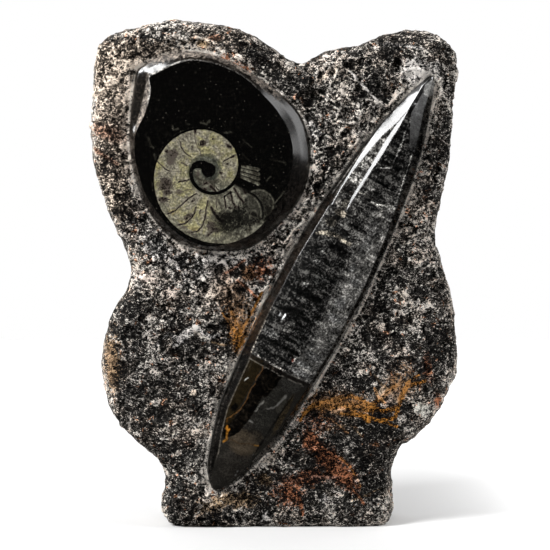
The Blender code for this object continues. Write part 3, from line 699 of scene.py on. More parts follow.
def stoneMaterial():
    material, wire = newMaterial("hewnLimestone")
    place = wire.node("ShaderNodeTexCoord", None, None, "Object")
    ridge, lift, stain, calm = (carry(wire, name) for name in ("ridge", "lift", "stain", "calm"))
    crest, deep = (carry(wire, name) for name in ("crest", "deep"))
    shoulderBruiseAndHighlight, collar, ringShare = (carry(wire, name) for name in ("shoulderBruiseAndHighlight", "collar", "ringShare"))
    rugged, scraped = (carry(wire, name) for name in ("rugged", "scraped"))
    sockets = {"Vector": place, "Scale": 1 / stone["wanderSize"], "Detail": 3.0}
    bend = wire.node("ShaderNodeTexNoise", {"normalize": False}, sockets, 1)
    bent = wire.node("ShaderNodeVectorMath", {"operation": "SCALE"}, {0: bend, "Scale": stone["wander"]})
    bent = wire.node("ShaderNodeVectorMath", {"operation": "ADD"}, {0: place, 1: bent})
    clouds = grain(wire, place, stone["cloudSize"], 3.0, 0.55, 0.6)
    lumps = grain(wire, place, stone["lumpSize"], 1.6, 0.5, 1.2)
    crust = grain(wire, place, stone["crustSize"], 6.0, 0.74, 0.9)
    sand = grain(wire, place, stone["sandSize"], 1.0, 0.5)
    chip = cells(wire, bent, stone["chipSize"], "F1", "Color") - 0.5
    seam = cells(wire, bent, stone["chipSize"], "DISTANCE_TO_EDGE")
    smallChip = cells(wire, bent, stone["smallChipSize"], "F1", "Color") - 0.5
    smallSeam = cells(wire, bent, stone["smallChipSize"], "DISTANCE_TO_EDGE")
    # Bruised places are pale with crisp curled lines, the rest is dark and fine.
    bruised = ease(wire, clouds + (lumps - 0.5) * 0.5 + rugged * 0.07 - calm * 0.06, 0.44, 0.60)
    flake = ease(wire, lumps + (crust - 0.5) * 0.5 + bruised * 0.07 - calm * 0.05, 0.575, 0.605)
    cracked = ease(wire, clouds + (crust - 0.5) * 0.9, 0.42, 0.56)
    line = ease(wire, seam, 0.03, 0.085, 1.0, 0.0) * cracked
    smallLine = ease(wire, smallSeam, 0.05, 0.15, 1.0, 0.0) * cracked
    curl = curledLines(wire, place, stone["curlSize"], 0.50, 0.030, 1.6)
    smallCurl = curledLines(wire, place, stone["smallCurlSize"], 0.53, 0.046, 1.2)
    fibre = strokes(wire, place, 0.0046, 0.17, 1.8, 0.7, 1.7)
    cross = strokes(wire, place, 0.0040, 0.19, 1.6, -0.8, 1.6)
    finer = strokes(wire, place, 0.0024, 0.20, 1.0, 0.3, 1.6)
    torn = ease(wire, crust, 0.44, 0.54)
    fleck = ease(wire, carry(wire, "fleck") + (crust - 0.5) * 1.1 + (lumps - 0.5) * 0.5, 0.42, 0.56)
    ringDistance = cells(wire, place, stone["ringSize"])
    ringPick = ease(wire, cells(wire, place, stone["ringSize"], "F1", "Color"), 0.48, 0.52)
    ring = ease(wire, abs(ringDistance + (crust - 0.5) * 0.12 - 0.24), 0.02, 0.07, 1.0, 0.0)
    ring = ring * ringPick * ringShare
    ringHeart = ease(wire, ringDistance, 0.17, 0.22, 1.0, 0.0) * ringPick * ringShare
    rough = 1 - calm * 0.6
    tone = (crust - 0.5) * 3.5 + (clouds - 0.5) * 1.9 + (sand - 0.5) * 5.4
    tone = tone + (chip * 0.7 + smallChip * 0.8) * rough + flake * 0.3
    tone = tone + (line * 1.2 + smallLine * 0.9) * (0.4 + bruised * 0.6 + rugged * 0.4)
    tone = tone + (curl * 1.4 + smallCurl * 1.3) * torn * (0.3 + bruised * 0.9 + stain * 0.5)
    tone = tone + (fibre + cross) * (1.55 + flake * 0.9 + fleck * 0.6) + finer * 2.5 + fleck * 2.1
    # In the stains the colour sits in thin curled streaks.
    streaky = larger(larger(curl, smallCurl), larger(finer * 0.6, cross))
    tone = tone + deep * ease(wire, stain, 0.3, 0.9) * (streaky * 2.5 - 0.95)
    tone = tone + bruised * 0.3 - 1.85 - rugged * 0.4
    # Crests are lighter as bruised stone; hollows are darker, which is painted shade.
    tone = tone + ridge * 0.34 + ease(wire, ridge, 0.5, 2.0) * 0.5 * rough
    tone = tone + ease(wire, crest, 0.5, 1.8) * (0.9 + rugged * 1.1) - ease(wire, crest, -0.5, -1.6) * 0.5
    # The shoulders' lift is partly bruised stone and partly a painted rim highlight.
    tone = tone + lift * ease(wire, crust, 0.3, 0.62, 0.55, 1.3) + shoulderBruiseAndHighlight * 0.8
    tone = tone + ring * 1.4 - ringHeart * 0.3 + collar * ease(wire, crust, 0.38, 0.52, 0.25, 1.0) * 3.3
    tone = tone + scraped * 0.25
    raggedStain = stain + (crust - 0.5) * 2.2 + (sand - 0.5) * 0.8 + deep * (streaky - 0.6) * 0.7
    raggedStain = ease(wire, raggedStain, 0.32, 0.56)
    # Stained grains never get as pale as clean ones.
    tone = (tone + stone["dark"]) * stone["contrast"] + stone["lighter"]
    light = wire.maths("MINIMUM", wire.maths("POWER", math.e, tone), stone["brightest"])
    light = light / (light * raggedStain * deep * (1 - fleck * 0.8) * 2.2 + 1)
    # The plain rock itself wanders between grey and brown, with a few rusty grains.
    brown = ease(wire, grain(wire, place, stone["brownSize"], 3.0, 0.6, 0.8), 0.45, 0.62, 0.0, 0.62)
    plainHue = blend(wire, cleanHue, stone["brown"], brown)
    rusty = grain(wire, place, stone["rustySize"], 3.0, 0.6, 0.5) + brown * 0.03
    plainHue = blend(wire, plainHue, stone["rusty"], ease(wire, rusty, 0.645, 0.675))
    hue = blend(wire, plainHue, carry(wire, "hue", "Color"), raggedStain)
    # Bruised grains beside the shells are a clean grey, and the palest grains keep less of the stain.
    hue = blend(wire, hue, cleanHue, collar * (1 - deep) * 0.7)
    hue = blend(wire, hue, cleanHue, ease(wire, light, 0.15, 0.7, 0.0, 0.3))
    colour = dimmed(wire, hue, light * hueScale)
    bumps = (crust - 0.5) * 1.3 + (sand - 0.5) * 0.4 + fibre * 0.10
    bumps = bumps + smallCurl * torn * 0.12 + flake * 0.1
    normal = wire.node(
        "ShaderNodeBump", None, {"Strength": 1.0, "Distance": stone["bump"], "Height": bumps}
    )
    roughness = ease(wire, crust, 0.3, 0.7, *stone["roughness"])
    shader = finishMaterial(material, colour, roughness, normal)
    shader.inputs["Specular IOR Level"].default_value = stone["shine"]
    return material


hewnStone.data.materials.append(stoneMaterial())
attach(hewnStone, "root")
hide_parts("matrix_stone")

# The coiled shell: a polished disc with a rough notch at its mouth, cut through the middle of the coil.
goniatite = {
    "around": 560,
    "centre": (-0.03886, 0.2107),  # x and z of the middle of the coil
    "bevelRings": 14,
    "faceRings": 108,
    "sunk": 0.0065,  # how far the wall goes down into the stone
    "mouthGrit": (0.0022, 0.0011),  # size across and height of the broken mouth's lumps
    "polish": 0.09,
    # Share of the way in from the outline, then share of the height.
    "bevel": ((0.0, 0.0), (0.07, 0.17), (0.5, 0.61), (1.0, 1.0)),
    "notchStep": ((0.0, 0.0), (0.10, 0.36), (0.62, 0.50), (0.80, 0.58), (1.0, 1.0)),
    # The edge of the flat face in millimetres, x and z, anticlockwise from the right.
    "edge": (
        (10.6, 217.2), (10.2, 226.5), (7.0, 235.6), (1.2, 245.6), (-7.6, 255.2), (-15.8, 263.2),
        (-26.4, 269.2), (-38.2, 273.0), (-49.9, 273.9), (-60.5, 270.6), (-67.0, 267.2), (-71.9, 264.4),
        (-71.4, 257.1), (-72.4, 251.2), (-74.9, 242.4), (-79.4, 233.6), (-80.7, 226.8), (-80.4, 218.0),
        (-78.6, 209.4), (-74.6, 197.0), (-67.9, 186.6), (-58.9, 176.3), (-47.6, 169.0), (-35.2, 166.4),
        (-18.2, 171.2), (-7.6, 178.6), (1.6, 190.6), (7.6, 202.6),
    ),
    "firstRadius": 10.1,  # millimetres from the middle of the coil to its line, level with it on the left
    "growth": 0.184,  # each turn is wider by this in natural logarithms per radian
    # Colours: pairs run from one to the other with the shell's mottling.
    "creamHues": ((0.186, 0.171, 0.088), (0.197, 0.181, 0.138)),
    "ochreHue": (0.165, 0.125, 0.050),
    "ashHues": ((0.158, 0.151, 0.116), (0.038, 0.035, 0.026)),
    "haloHue": (0.030, 0.034, 0.027),
    "faintInkHue": (0.070, 0.057, 0.048),
    "inkHue": (0.012, 0.009, 0.007),
    "speckHue": (0.030, 0.022, 0.017),
    "mudHues": ((0.0016, 0.0015, 0.0014), (0.075, 0.068, 0.055)),
    "bevelHues": ((0.002, 0.0018, 0.0016), (0.020, 0.0165, 0.0135)),
    "crumbHues": ((0.012, 0.008, 0.006), (0.30, 0.25, 0.205)),
    "bruiseHue": (0.55, 0.52, 0.48),
    # What the polished cut shows, in millimetres across and up from the middle of the coil.
    # Paths of thin dark walls: points, width, how dark.
    "walls": (
        (((-7.2, -13.6), (-11.7, -16.6), (-15.6, -20.2), (-19.6, -23.8), (-23.8, -25.4)), 0.38, 0.9),
        (((-7.2, -21.8), (-8.5, -25.8), (-11.1, -29.0), (-13.7, -31.0), (-17.6, -31.9)), 0.42, 0.95),
        (((-0.3, -17.9), (-1.3, -22.5), (-2.0, -27.7), (-3.9, -32.9), (-6.5, -35.5), (-9.8, -36.2)),
         0.38, 0.95),
        (((4.9, -16.0), (4.6, -21.8)), 0.3, 0.7),
        (((1.6, -21.8), (3.9, -25.8), (6.5, -29.0), (8.2, -29.7)), 0.75, 1.0),
        (((9.1, -15.3), (10.1, -21.8)), 0.5, 0.95), (((11.1, -15.3), (12.7, -17.6)), 0.4, 0.8),
        (((12.7, -12.7), (14.0, -18.6), (15.6, -21.2)), 0.6, 1.0),
        (((15.0, -10.8), (17.6, -15.3), (20.2, -18.6)), 0.6, 1.0),
        (((16.3, -8.2), (19.6, -9.5), (21.5, -13.4)), 0.6, 1.0),
        (((-30.0, 5.5), (-27.4, 2.9), (-25.1, 0.7), (-22.5, -0.7)), 0.32, 0.85),
        (((-22.5, -0.7), (-15.0, -1.0)), 0.25, 0.4),
        (((-17.3, -7.0), (-16.3, -6.6), (-12.7, -6.2), (-10.8, -5.5)), 0.4, 0.95),
        (((-15.6, 4.2), (-12.4, 2.6)), 0.4, 0.75),
        (((-16.3, 16.6), (-15.6, 12.7), (-13.4, 9.8), (-10.1, 7.5)), 0.34, 0.8),
        (((-7.5, 23.1), (-7.8, 19.9), (-7.2, 15.3), (-4.9, 10.8), (-3.9, 8.8)), 0.28, 0.5),
        (((-7.7, 23.6), (-7.6, 21.6)), 0.7, 1.0), (((8.5, 4.9), (12.4, 7.2), (15.6, 8.8)), 0.36, 0.85),
        (((7.8, -4.2), (15.6, -4.6)), 0.25, 0.4),
        (((-9.1, -10.8), (-16.3, -12.7), (-19.6, -13.4)), 0.3, 0.45),
        (((-4.6, -23.1), (-5.2, -25.1)), 0.4, 0.75), (((3.3, -34.2), (-0.7, -38.1)), 0.6, 0.8),
        (((1.3, -9.5), (3.9, -12.1)), 0.7, 1.0), (((4.0, -9.6), (6.4, -12.0)), 0.35, 0.8),
        (((-28.0, -20.8), (-22.5, -27.0), (-15.0, -33.8), (-6.5, -38.6)), 0.3, 0.35),
    ),
    # Stains: x, z, reach across and up, turn, how dark.
    "stains": (
        (-3.3, 15.6, 3.3, 2.3, 40, 0.95), (2.6, 17.9, 1.2, 0.9, 0, 1.0),
        (11.7, 13.7, 3.4, 1.4, -40, 0.95), (-24.4, 10.8, 1.5, 1.4, 0, 1.0),
        (-20.2, 9.5, 4.2, 3.9, 0, 0.66), (-21.8, 4.9, 3.8, 3.0, 0, 0.45),
        (-24.8, -8.2, 6.4, 6.0, 0, 0.72), (-24.2, -7.0, 2.4, 2.0, 30, 0.95),
        (-26.0, -10.2, 1.6, 1.4, 0, 0.9), (-24.0, -13.0, 3.6, 2.6, 0, 0.8),
        (-26.4, -17.0, 4.4, 2.3, 0, 0.85), (-17.0, -12.7, 3.0, 2.4, 0, 0.5),
        (14.3, 7.8, 2.0, 1.2, 45, 1.0), (10.8, 3.3, 1.1, 0.9, 0, 1.0), (7.2, -1.6, 1.7, 1.1, 0, 0.85),
        (-12.7, -28.0, 1.3, 1.2, 0, 1.0), (-11.7, -26.6, 4.4, 2.0, 25, 0.65),
        (-9.1, -17.9, 2.2, 1.0, 30, 0.75), (-2.3, -11.1, 2.0, 1.8, 0, 0.9),
        (-1.6, -7.8, 2.2, 1.3, 20, 1.0), (1.3, -32.3, 3.4, 4.0, 0, 0.7), (4.6, -34.9, 2.6, 2.0, 0, 0.65),
        (12.4, -21.8, 1.8, 1.3, 0, 0.85), (16.3, -21.6, 2.0, 1.3, 0, 0.9),
        (-6.0, -1.5, 1.6, 3.0, 0, 0.35), (-14.0, -33.0, 3.4, 1.3, 15, 0.5), (6.6, 8.8, 2.4, 1.6, 0, 0.3),
        (-12.0, 20.5, 2.4, 2.0, 0, 0.3), (-28.6, -1.5, 1.8, 2.0, 0, 0.3), (16.5, 12.0, 1.2, 1.8, 0, 0.4),
        (-8.4, 13.0, 1.4, 1.8, 0, 0.25), (-31.0, -13.0, 1.2, 2.6, 0, 0.4),
    ),
    # Ochre stains: x, z, reach across and up, turn, how much.
    "ochres": (
        (-21.5, -25.0, 6.0, 2.6, 20, 0.8), (-9.5, -35.0, 6.5, 2.2, 10, 0.7),
        (-12.5, 17.5, 4.5, 4.0, 0, 0.5), (-16.0, -30.0, 4.0, 2.0, 10, 0.5),
        (-30.5, 3.0, 2.0, 4.0, 0, 0.5), (5.0, 13.0, 4.0, 3.0, 0, 0.4),
    ),
    # Four pale strips beyond the coil: the slanting lines above and below them.
    "strips": ((20.1, 3.4, 30.2, 1.7), (19.5, -5.0, 29.2, -9.2)),
    "lobe": (29.3, -19.6, 8.6),  # the round black end of the tube: x, z and reach
    "arc": (18.4, -25.0),  # the middle of the dark arc across it
    "tongue": (26.2, -28.4, 2.4, 5.2),  # an oval ghost in it: x, z, reach across and up
    # Faint veils in the black: points, width, how pale.
    "veils": (
        (((-21.0, 25.4), (-19.9, 23.2), (-17.4, 23.6)), 0.35, 0.2),
        (((-4.5, 27.4), (-1.0, 26.4), (0.8, 28.4)), 0.45, 0.22), (((9.0, 21.5), (13.5, 21.8)), 0.5, 0.12),
        (((-34.6, 18.6), (-33.6, 14.8), (-32.0, 12.6)), 0.5, 0.2),
        (((33.5, -6.5), (36.0, -3.5)), 0.3, 0.22), (((36.0, 6.0), (44.5, 4.2)), 0.3, 0.12),
        (((36.5, -21.5), (45.0, -11.0)), 0.4, 0.18), (((34.5, -25.5), (41.0, -19.5)), 0.3, 0.12),
        (((25.0, 13.0), (20.0, 17.5)), 0.25, 0.12), (((-31.5, 9.0), (-30.6, 6.0)), 0.4, 0.14),
        (((20.0, 9.0), (23.5, 5.5)), 0.25, 0.12), (((-13.0, 27.0), (-11.0, 26.4)), 0.3, 0.16),
    ),
}


def radiusAt(ring, centre, angles):
    # How far out a closed outline lies in each direction from a middle.
    apart = ring - centre
    turn = np.arctan2(apart[:, 1], apart[:, 0])
    order = np.argsort(turn)
    return np.interp(angles, turn[order], np.hypot(*apart.T)[order], period=2 * math.pi)


def roundedRing(points, steps=8):
    # A smooth closed curve through a few points.
    points = np.array(points, float)
    before, after, last = (np.roll(points, shift, axis=0) for shift in (1, -1, -2))
    share = np.linspace(0, 1, steps, endpoint=False)[:, None, None]
    curve = 0.5 * (
        2 * points
        + (after - before) * share
        + (2 * before - 5 * points + 4 * after - last) * share**2
        + (3 * points - before - 3 * after + last) * share**3
    )
    return curve.transpose(1, 0, 2).reshape(-1, 2)


def buildGoniatite():
    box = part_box("goniatite")
    face = box[0].y
    rise = abs(stoneFace - face)
    centre = np.array(goniatite["centre"])
    around, bevelRings, faceRings = (goniatite[name] for name in ("around", "bevelRings", "faceRings"))
    rings = bevelRings + faceRings
    bm = bmesh.new()
    bmesh.ops.create_grid(bm, x_segments=around, y_segments=rings, size=1.0)
    angles = np.linspace(-math.pi, math.pi, around + 1)
    outer = radiusAt(outlines["goniatite"], centre, angles)
    inner = radiusAt(roundedRing(goniatite["edge"]) * millimetre, centre, angles)
    notch = between(np.degrees(angles), 118, 128, 146, 157)
    inward, height = np.array(goniatite["bevel"]).T
    stepInward, stepHeight = np.array(goniatite["notchStep"]).T
    gritSize, grit = goniatite["mouthGrit"]
    for vert in bm.verts:
        column = round((vert.co.x + 1) / 2 * around)
        ring = round((vert.co.y + 1) / 2 * rings) - 1
        share = np.clip(ring / (bevelRings - 1), 0, 1)
        plain = np.interp(share, inward, height)
        stepped = np.interp(share, stepInward, stepHeight)
        up = plain + (stepped - plain) * notch[column]
        radius = outer[column] + (inner[column] - outer[column]) * share
        if ring < 0:
            up = -goniatite["sunk"] / rise
        elif ring >= bevelRings:
            radius *= (rings - 1 - ring) / faceRings
        x = centre[0] + radius * math.cos(angles[column])
        z = centre[1] + radius * math.sin(angles[column])
        vert.co = Vector((x, stoneFace - rise * up, z))
        rough = notch[column] * between(share, 0.55, 0.75, 0.97, 1.0)
        if ring < bevelRings and rough:
            vert.co.y += rough * grit * noise.turbulence(vert.co / gritSize, 3, True)
    bmesh.ops.remove_doubles(bm, verts=bm.verts, dist=0.0000005)
    closeUp(bm)
    for edge in bm.edges:
        flat = [face.normal.y < -0.9999 for face in edge.link_faces]
        edge.smooth = len(set(flat)) == 1 and all(len(face.verts) < 9 for face in edge.link_faces)
    made = endMesh(bm, "polishedGoniatite")
    made.data.shade_smooth()
    places = placesOf(made.data)
    turn = np.arctan2(places[:, 2] - centre[1], places[:, 0] - centre[0])
    radius = np.hypot(places[:, 2] - centre[1], places[:, 0] - centre[0])
    far, close = (np.interp(turn, angles, edge) for edge in (outer, inner))
    share = np.clip((far - radius) / (far - close), 0, 1)
    turn = np.degrees(turn)
    lumpy = np.array([noise.turbulence(Vector(p) / 0.004, 3, True) for p in places])
    top = between(turn, 38, 56, 112, 124)
    mouth = np.interp(turn, np.degrees(angles), notch)
    chipped = top * (1 - smoothStep(share + (lumpy - 0.45) * 0.7, 0.30, 0.55))
    broken = mouth * between(share, 0.60, 0.72, 0.985, 1.0)
    chipped = np.maximum(chipped, broken)
    bruise = smoothStep(share, 0.90, 0.95) * (radius > close - 0.0003)
    upper = (0.25 + 0.75 * smoothStep(turn, 88, 112)) * smoothStep(turn, 50, 70)
    bruise *= upper * (1 - smoothStep(turn, 128, 134))
    paint(made.data, "bevel", (radius > close + 0.00002).astype(float))
    paint(made.data, "chipped", chipped)
    paint(made.data, "bruise", bruise)
    paintGoniatite(made)
    print("goniatite built:", len(made.data.polygons), "faces")
    return made


def coilTurns(x, z):
    # The angle along the tube in degrees, and the share of the way out across it.
    radius = np.maximum(np.hypot(x, z), 0.01)
    grown = math.pi + np.log(radius / goniatite["firstRadius"]) / goniatite["growth"]
    turn = np.arctan2(z, x)
    turns = np.floor((grown - turn) / (2 * math.pi))
    return np.degrees(turn + turns * 2 * math.pi), (grown - turn) / (2 * math.pi) - turns


def paintGoniatite(made):
    places = placesOf(made.data)
    aside = np.array((middleX, 0, 0))
    x, z = ((places - aside)[:, [0, 2]] - goniatite["centre"]).T / millimetre
    local = np.column_stack((x, x * 0, z)) * millimetre + aside
    onFace = places[:, 1] < places[:, 1].min() + 1e-6
    wander = wandering(local, 0.0016) * 0.00035
    wander[:, 1] = 0
    ragged = local + wander
    dark = np.zeros(len(places))
    for path, width, much in goniatite["walls"]:
        dark = np.maximum(dark, much * pathShare(ragged, path, width))
    grit = np.array([noise.turbulence(Vector(p) / 0.0011, 2, True) for p in local])
    for stain in goniatite["stains"]:
        share = roundShare(ragged, *stain[:5])
        share = share + (grit - 0.4) * 0.8 * (share > 0)
        dark = np.maximum(dark, stain[5] * smoothStep(share, 0.10, 0.62))
    ochre = np.zeros(len(places))
    for stain in goniatite["ochres"]:
        ochre = np.maximum(ochre, stain[5] * roundShare(ragged, *stain[:5]))
    along, across = coilTurns(x, z)
    # Past the last walls the cut is black mud, with ghosts of the chambers in it.
    swing = (grit - 0.45) * 0.22
    dim = smoothStep(along + swing * 60, 264, 282) * smoothStep(across + swing, 0.40, 0.52)
    dim *= 1 - smoothStep(across + swing * 0.6, 0.78, 0.90)
    ending = np.where(across > 0.7, smoothStep(along, 312, 322), smoothStep(along, 322, 334))
    calcite = (1 - ending) * (1 - dim * (0.94 - 0.34 * smoothStep(grit, 0.48, 0.72)))
    (x0, top0, x1, top1), (x2, low0, x3, low1) = goniatite["strips"]
    top = top0 + (x - x0) / (x1 - x0) * (top1 - top0)
    low = low0 + (x - x2) / (x3 - x2) * (low1 - low0)
    strip = (top - z) / (top - low) * 4
    end = 30.0 - 1.2 * np.abs(np.mod(strip, 1) - 0.5) * 2
    strips = (strip > 0) & (strip < 4) & (x > 18.6) & (x < end) & (np.mod(strip, 1) > 0.24)
    calcite = np.maximum(calcite, strips * (0.62 + 0.3 * (np.mod(strip, 1) > 0.6)))
    lobeX, lobeZ, lobeReach = goniatite["lobe"]
    far = np.hypot(x - lobeX, (z - lobeZ) / 0.96)
    lobe = (far < lobeReach) & (z < -9.9)
    calcite = np.where(lobe & (x > 20.5), np.minimum(calcite, 0.2), calcite)
    rim = bell(far, 8.3, 0.45) * (x > 22)
    arcX, arcZ = goniatite["arc"]
    near = np.hypot(x - arcX, z - arcZ)
    arc = np.exp(-(((near - 13.2) / 0.6) ** 4)) * (z < -12.5) * (z > -28.5)
    inner = bell(near, 11.9, 0.35) * (x > 23.0) * (z < -13.0) * (z > -28)
    tongueX, tongueZ, tongueAcross, tongueUp = goniatite["tongue"]
    tongue = np.hypot((x - tongueX) / tongueAcross, (z - tongueZ) / tongueUp)
    inner = np.maximum(inner, bell(tongue, 1.0, 0.14) * (z > -28.4))
    ghost = np.maximum(lobe * 0.17, np.maximum(rim * 0.5, inner * 0.55) * (z < -9))
    calcite = np.maximum(calcite, ghost) * (1 - arc * (along > 300))
    for path, width, much in goniatite["veils"]:
        calcite = np.maximum(calcite, much * pathShare(ragged, path, width))
    grey = np.maximum(smoothStep(along, 258, 300), 1 - smoothStep(along, -60, -10))
    grey = np.maximum(grey, roundShare(local, -21, 8, 6, 7))
    grey = np.maximum(grey, 0.8 * (across > 0.9) * (along > 215))
    paint(made.data, "calcite", calcite * onFace)
    paint(made.data, "ink", dark)
    paint(made.data, "ochre", ochre)
    paint(made.data, "grey", np.clip(grey, 0, 1))


def goniatiteMaterial():
    material, wire = newMaterial("polishedGoniatite")
    place = wire.node("ShaderNodeTexCoord", None, None, "Object")
    apart = wire.node("ShaderNodeSeparateXYZ", None, {0: place}, 0)
    upward = Wire(wire.tree, apart.socket.node.outputs[2])
    x = (apart - (goniatite["centre"][0] + middleX)) / millimetre
    z = (upward - goniatite["centre"][1]) / millimetre
    rough = grain(wire, place, 0.0016, 3.0, 0.6)
    radius = (x * x + z * z) ** 0.5
    grown = wire.maths("LOGARITHM", radius / goniatite["firstRadius"], math.e)
    grown = grown / goniatite["growth"] + math.pi
    bearing = wire.maths("ARCTAN2", z, x)
    turns = (grown - bearing) / (2 * math.pi)
    whole = wire.maths("FLOOR", turns)
    across = turns - whole
    along = bearing + whole * (2 * math.pi)
    calcite, ink, grey, ochre = (carry(wire, name) for name in ("calcite", "ink", "grey", "ochre"))
    bevel, chipped, bruise = (carry(wire, name) for name in ("bevel", "chipped", "bruise"))

    # The coil's own black line, thickest where it leaves the hollow in the middle.
    gap = wire.maths("MINIMUM", across, (1 - across)) * radius * (2 * math.pi * goniatite["growth"])
    lineWidth = ease(wire, along, 3.0, 4.9, 1.25, 0.95) * ease(wire, along, 5.8, 8.2, 1.0, 0.35)
    lineWidth = lineWidth + (rough - 0.5) * 0.9
    start = ease(wire, along, 2.95, 3.1)
    wallInside = ease(wire, across * radius * 1.156 - lineWidth * 0.8, -0.15, 0.2, 1.0, 0.0) * start
    wallOutside = ease(wire, (1 - across) * radius * 1.156 - lineWidth * 0.9, -0.15, 0.25, 1.0, 0.0)
    wallOutside = wallOutside * ease(wire, along, -3.3, -3.1)
    hollow = ease(wire, radius + (rough - 0.5) * 1.2, 3.9, 4.5, 1.0, 0.0)
    turned = ease(wire, bearing, 1.05, 3.07) ** 1.5
    domed = z + (x + 6.0) * (x + 6.0) * 0.16 + (rough - 0.5) * 1.2
    tail = turned * 6.4  # how far the hollow's black tail reaches out beyond it
    comma = ease(wire, tail + 4.1 - radius + (rough - 0.5) * 1.6, -0.1, 0.4)
    comma = comma * ease(wire, domed, 0.9, 1.3)
    black = larger(larger(wallInside, wallOutside), larger(hollow, comma))
    halo = ease(wire, gap - lineWidth, 0.0, 1.5, 1.0, 0.0) * ease(wire, radius, 18.0, 11.0)
    halo = larger(halo, ease(wire, radius - tail + (rough - 0.5) * 3.0, 4.0, 5.6, 1.0, 0.0))

    mottle = grain(wire, place, 0.0055, 4.0, 0.62, 0.6)
    fine = grain(wire, place, 0.0012, 3.0, 0.65)
    cream = blend(wire, *goniatite["creamHues"], ease(wire, mottle, 0.38, 0.62))
    cream = blend(wire, cream, goniatite["ochreHue"], ochre * ease(wire, mottle, 0.62, 0.40))
    ash = blend(wire, *goniatite["ashHues"], ease(wire, mottle, 0.40, 0.62))
    mineral = blend(wire, cream, ash, grey)
    mineral = blend(wire, mineral, goniatite["haloHue"], halo * 0.7)
    shade = wire.maths("POWER", math.e, (0.5 - fine) * 4.4 + (0.5 - mottle) * 0.8) * 0.93
    mineral = dimmed(wire, mineral, shade)
    mineral = blend(wire, mineral, goniatite["faintInkHue"], ease(wire, ink, 0.0, 0.55) * 0.85)
    inked = ease(wire, ink + (0.5 - fine) * 1.8, 0.48, 0.95)
    mineral = blend(wire, mineral, goniatite["inkHue"], inked)
    speck = ease(wire, fine, 0.60, 0.66) * ease(wire, mottle, 0.52, 0.60)
    mineral = blend(wire, mineral, goniatite["speckHue"], speck * 0.7)
    dust = ease(wire, cells(wire, place, 0.0032), 0.05, 0.10, 1.0, 0.0)
    dust = dust * ease(wire, cells(wire, place, 0.0032, "F1", "Color"), 0.45, 0.75)
    haze = ease(wire, grain(wire, place, 0.0014, 3.0, 0.7), 0.55, 0.75) * 0.35
    mud = blend(wire, *goniatite["mudHues"], dust + haze * 0.35)
    colour = blend(wire, mud, mineral, calcite * (1 - black))

    streak = grain(wire, place, 0.0022, 4.0, 0.7, 1.5)
    ground = ease(wire, streak, 0.40, 0.66)
    bevelTone = blend(wire, *goniatite["bevelHues"], ground)
    colour = blend(wire, colour, bevelTone, bevel)
    crumbs = blend(wire, *goniatite["crumbHues"], ease(wire, streak, 0.42, 0.66))
    colour = blend(wire, colour, crumbs, chipped)
    colour = blend(wire, colour, goniatite["bruiseHue"], bruise * ease(wire, streak, 0.44, 0.60))
    roughness = ease(wire, larger(chipped, bruise), 0.0, 1.0, goniatite["polish"], 0.7)
    finishMaterial(material, colour, roughness + bevel * 0.10)
    return material


polishedGoniatite = buildGoniatite()
polishedGoniatite.data.materials.append(goniatiteMaterial())
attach(polishedGoniatite, "root")
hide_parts("goniatite")

ash, bone, soot = (0.040, 0.039, 0.037), (0.085, 0.080, 0.072), (0.0008, 0.0007, 0.0006)
umber, ebony, slate = (0.0016, 0.0012, 0.0008), (0.0006, 0.0006, 0.0005), (0.055, 0.054, 0.052)
ginger, horn = (0.06, 0.053, 0.042), (0.125, 0.118, 0.108)
toneScale = 2  # the shell's dim tones are stored at twice their strength

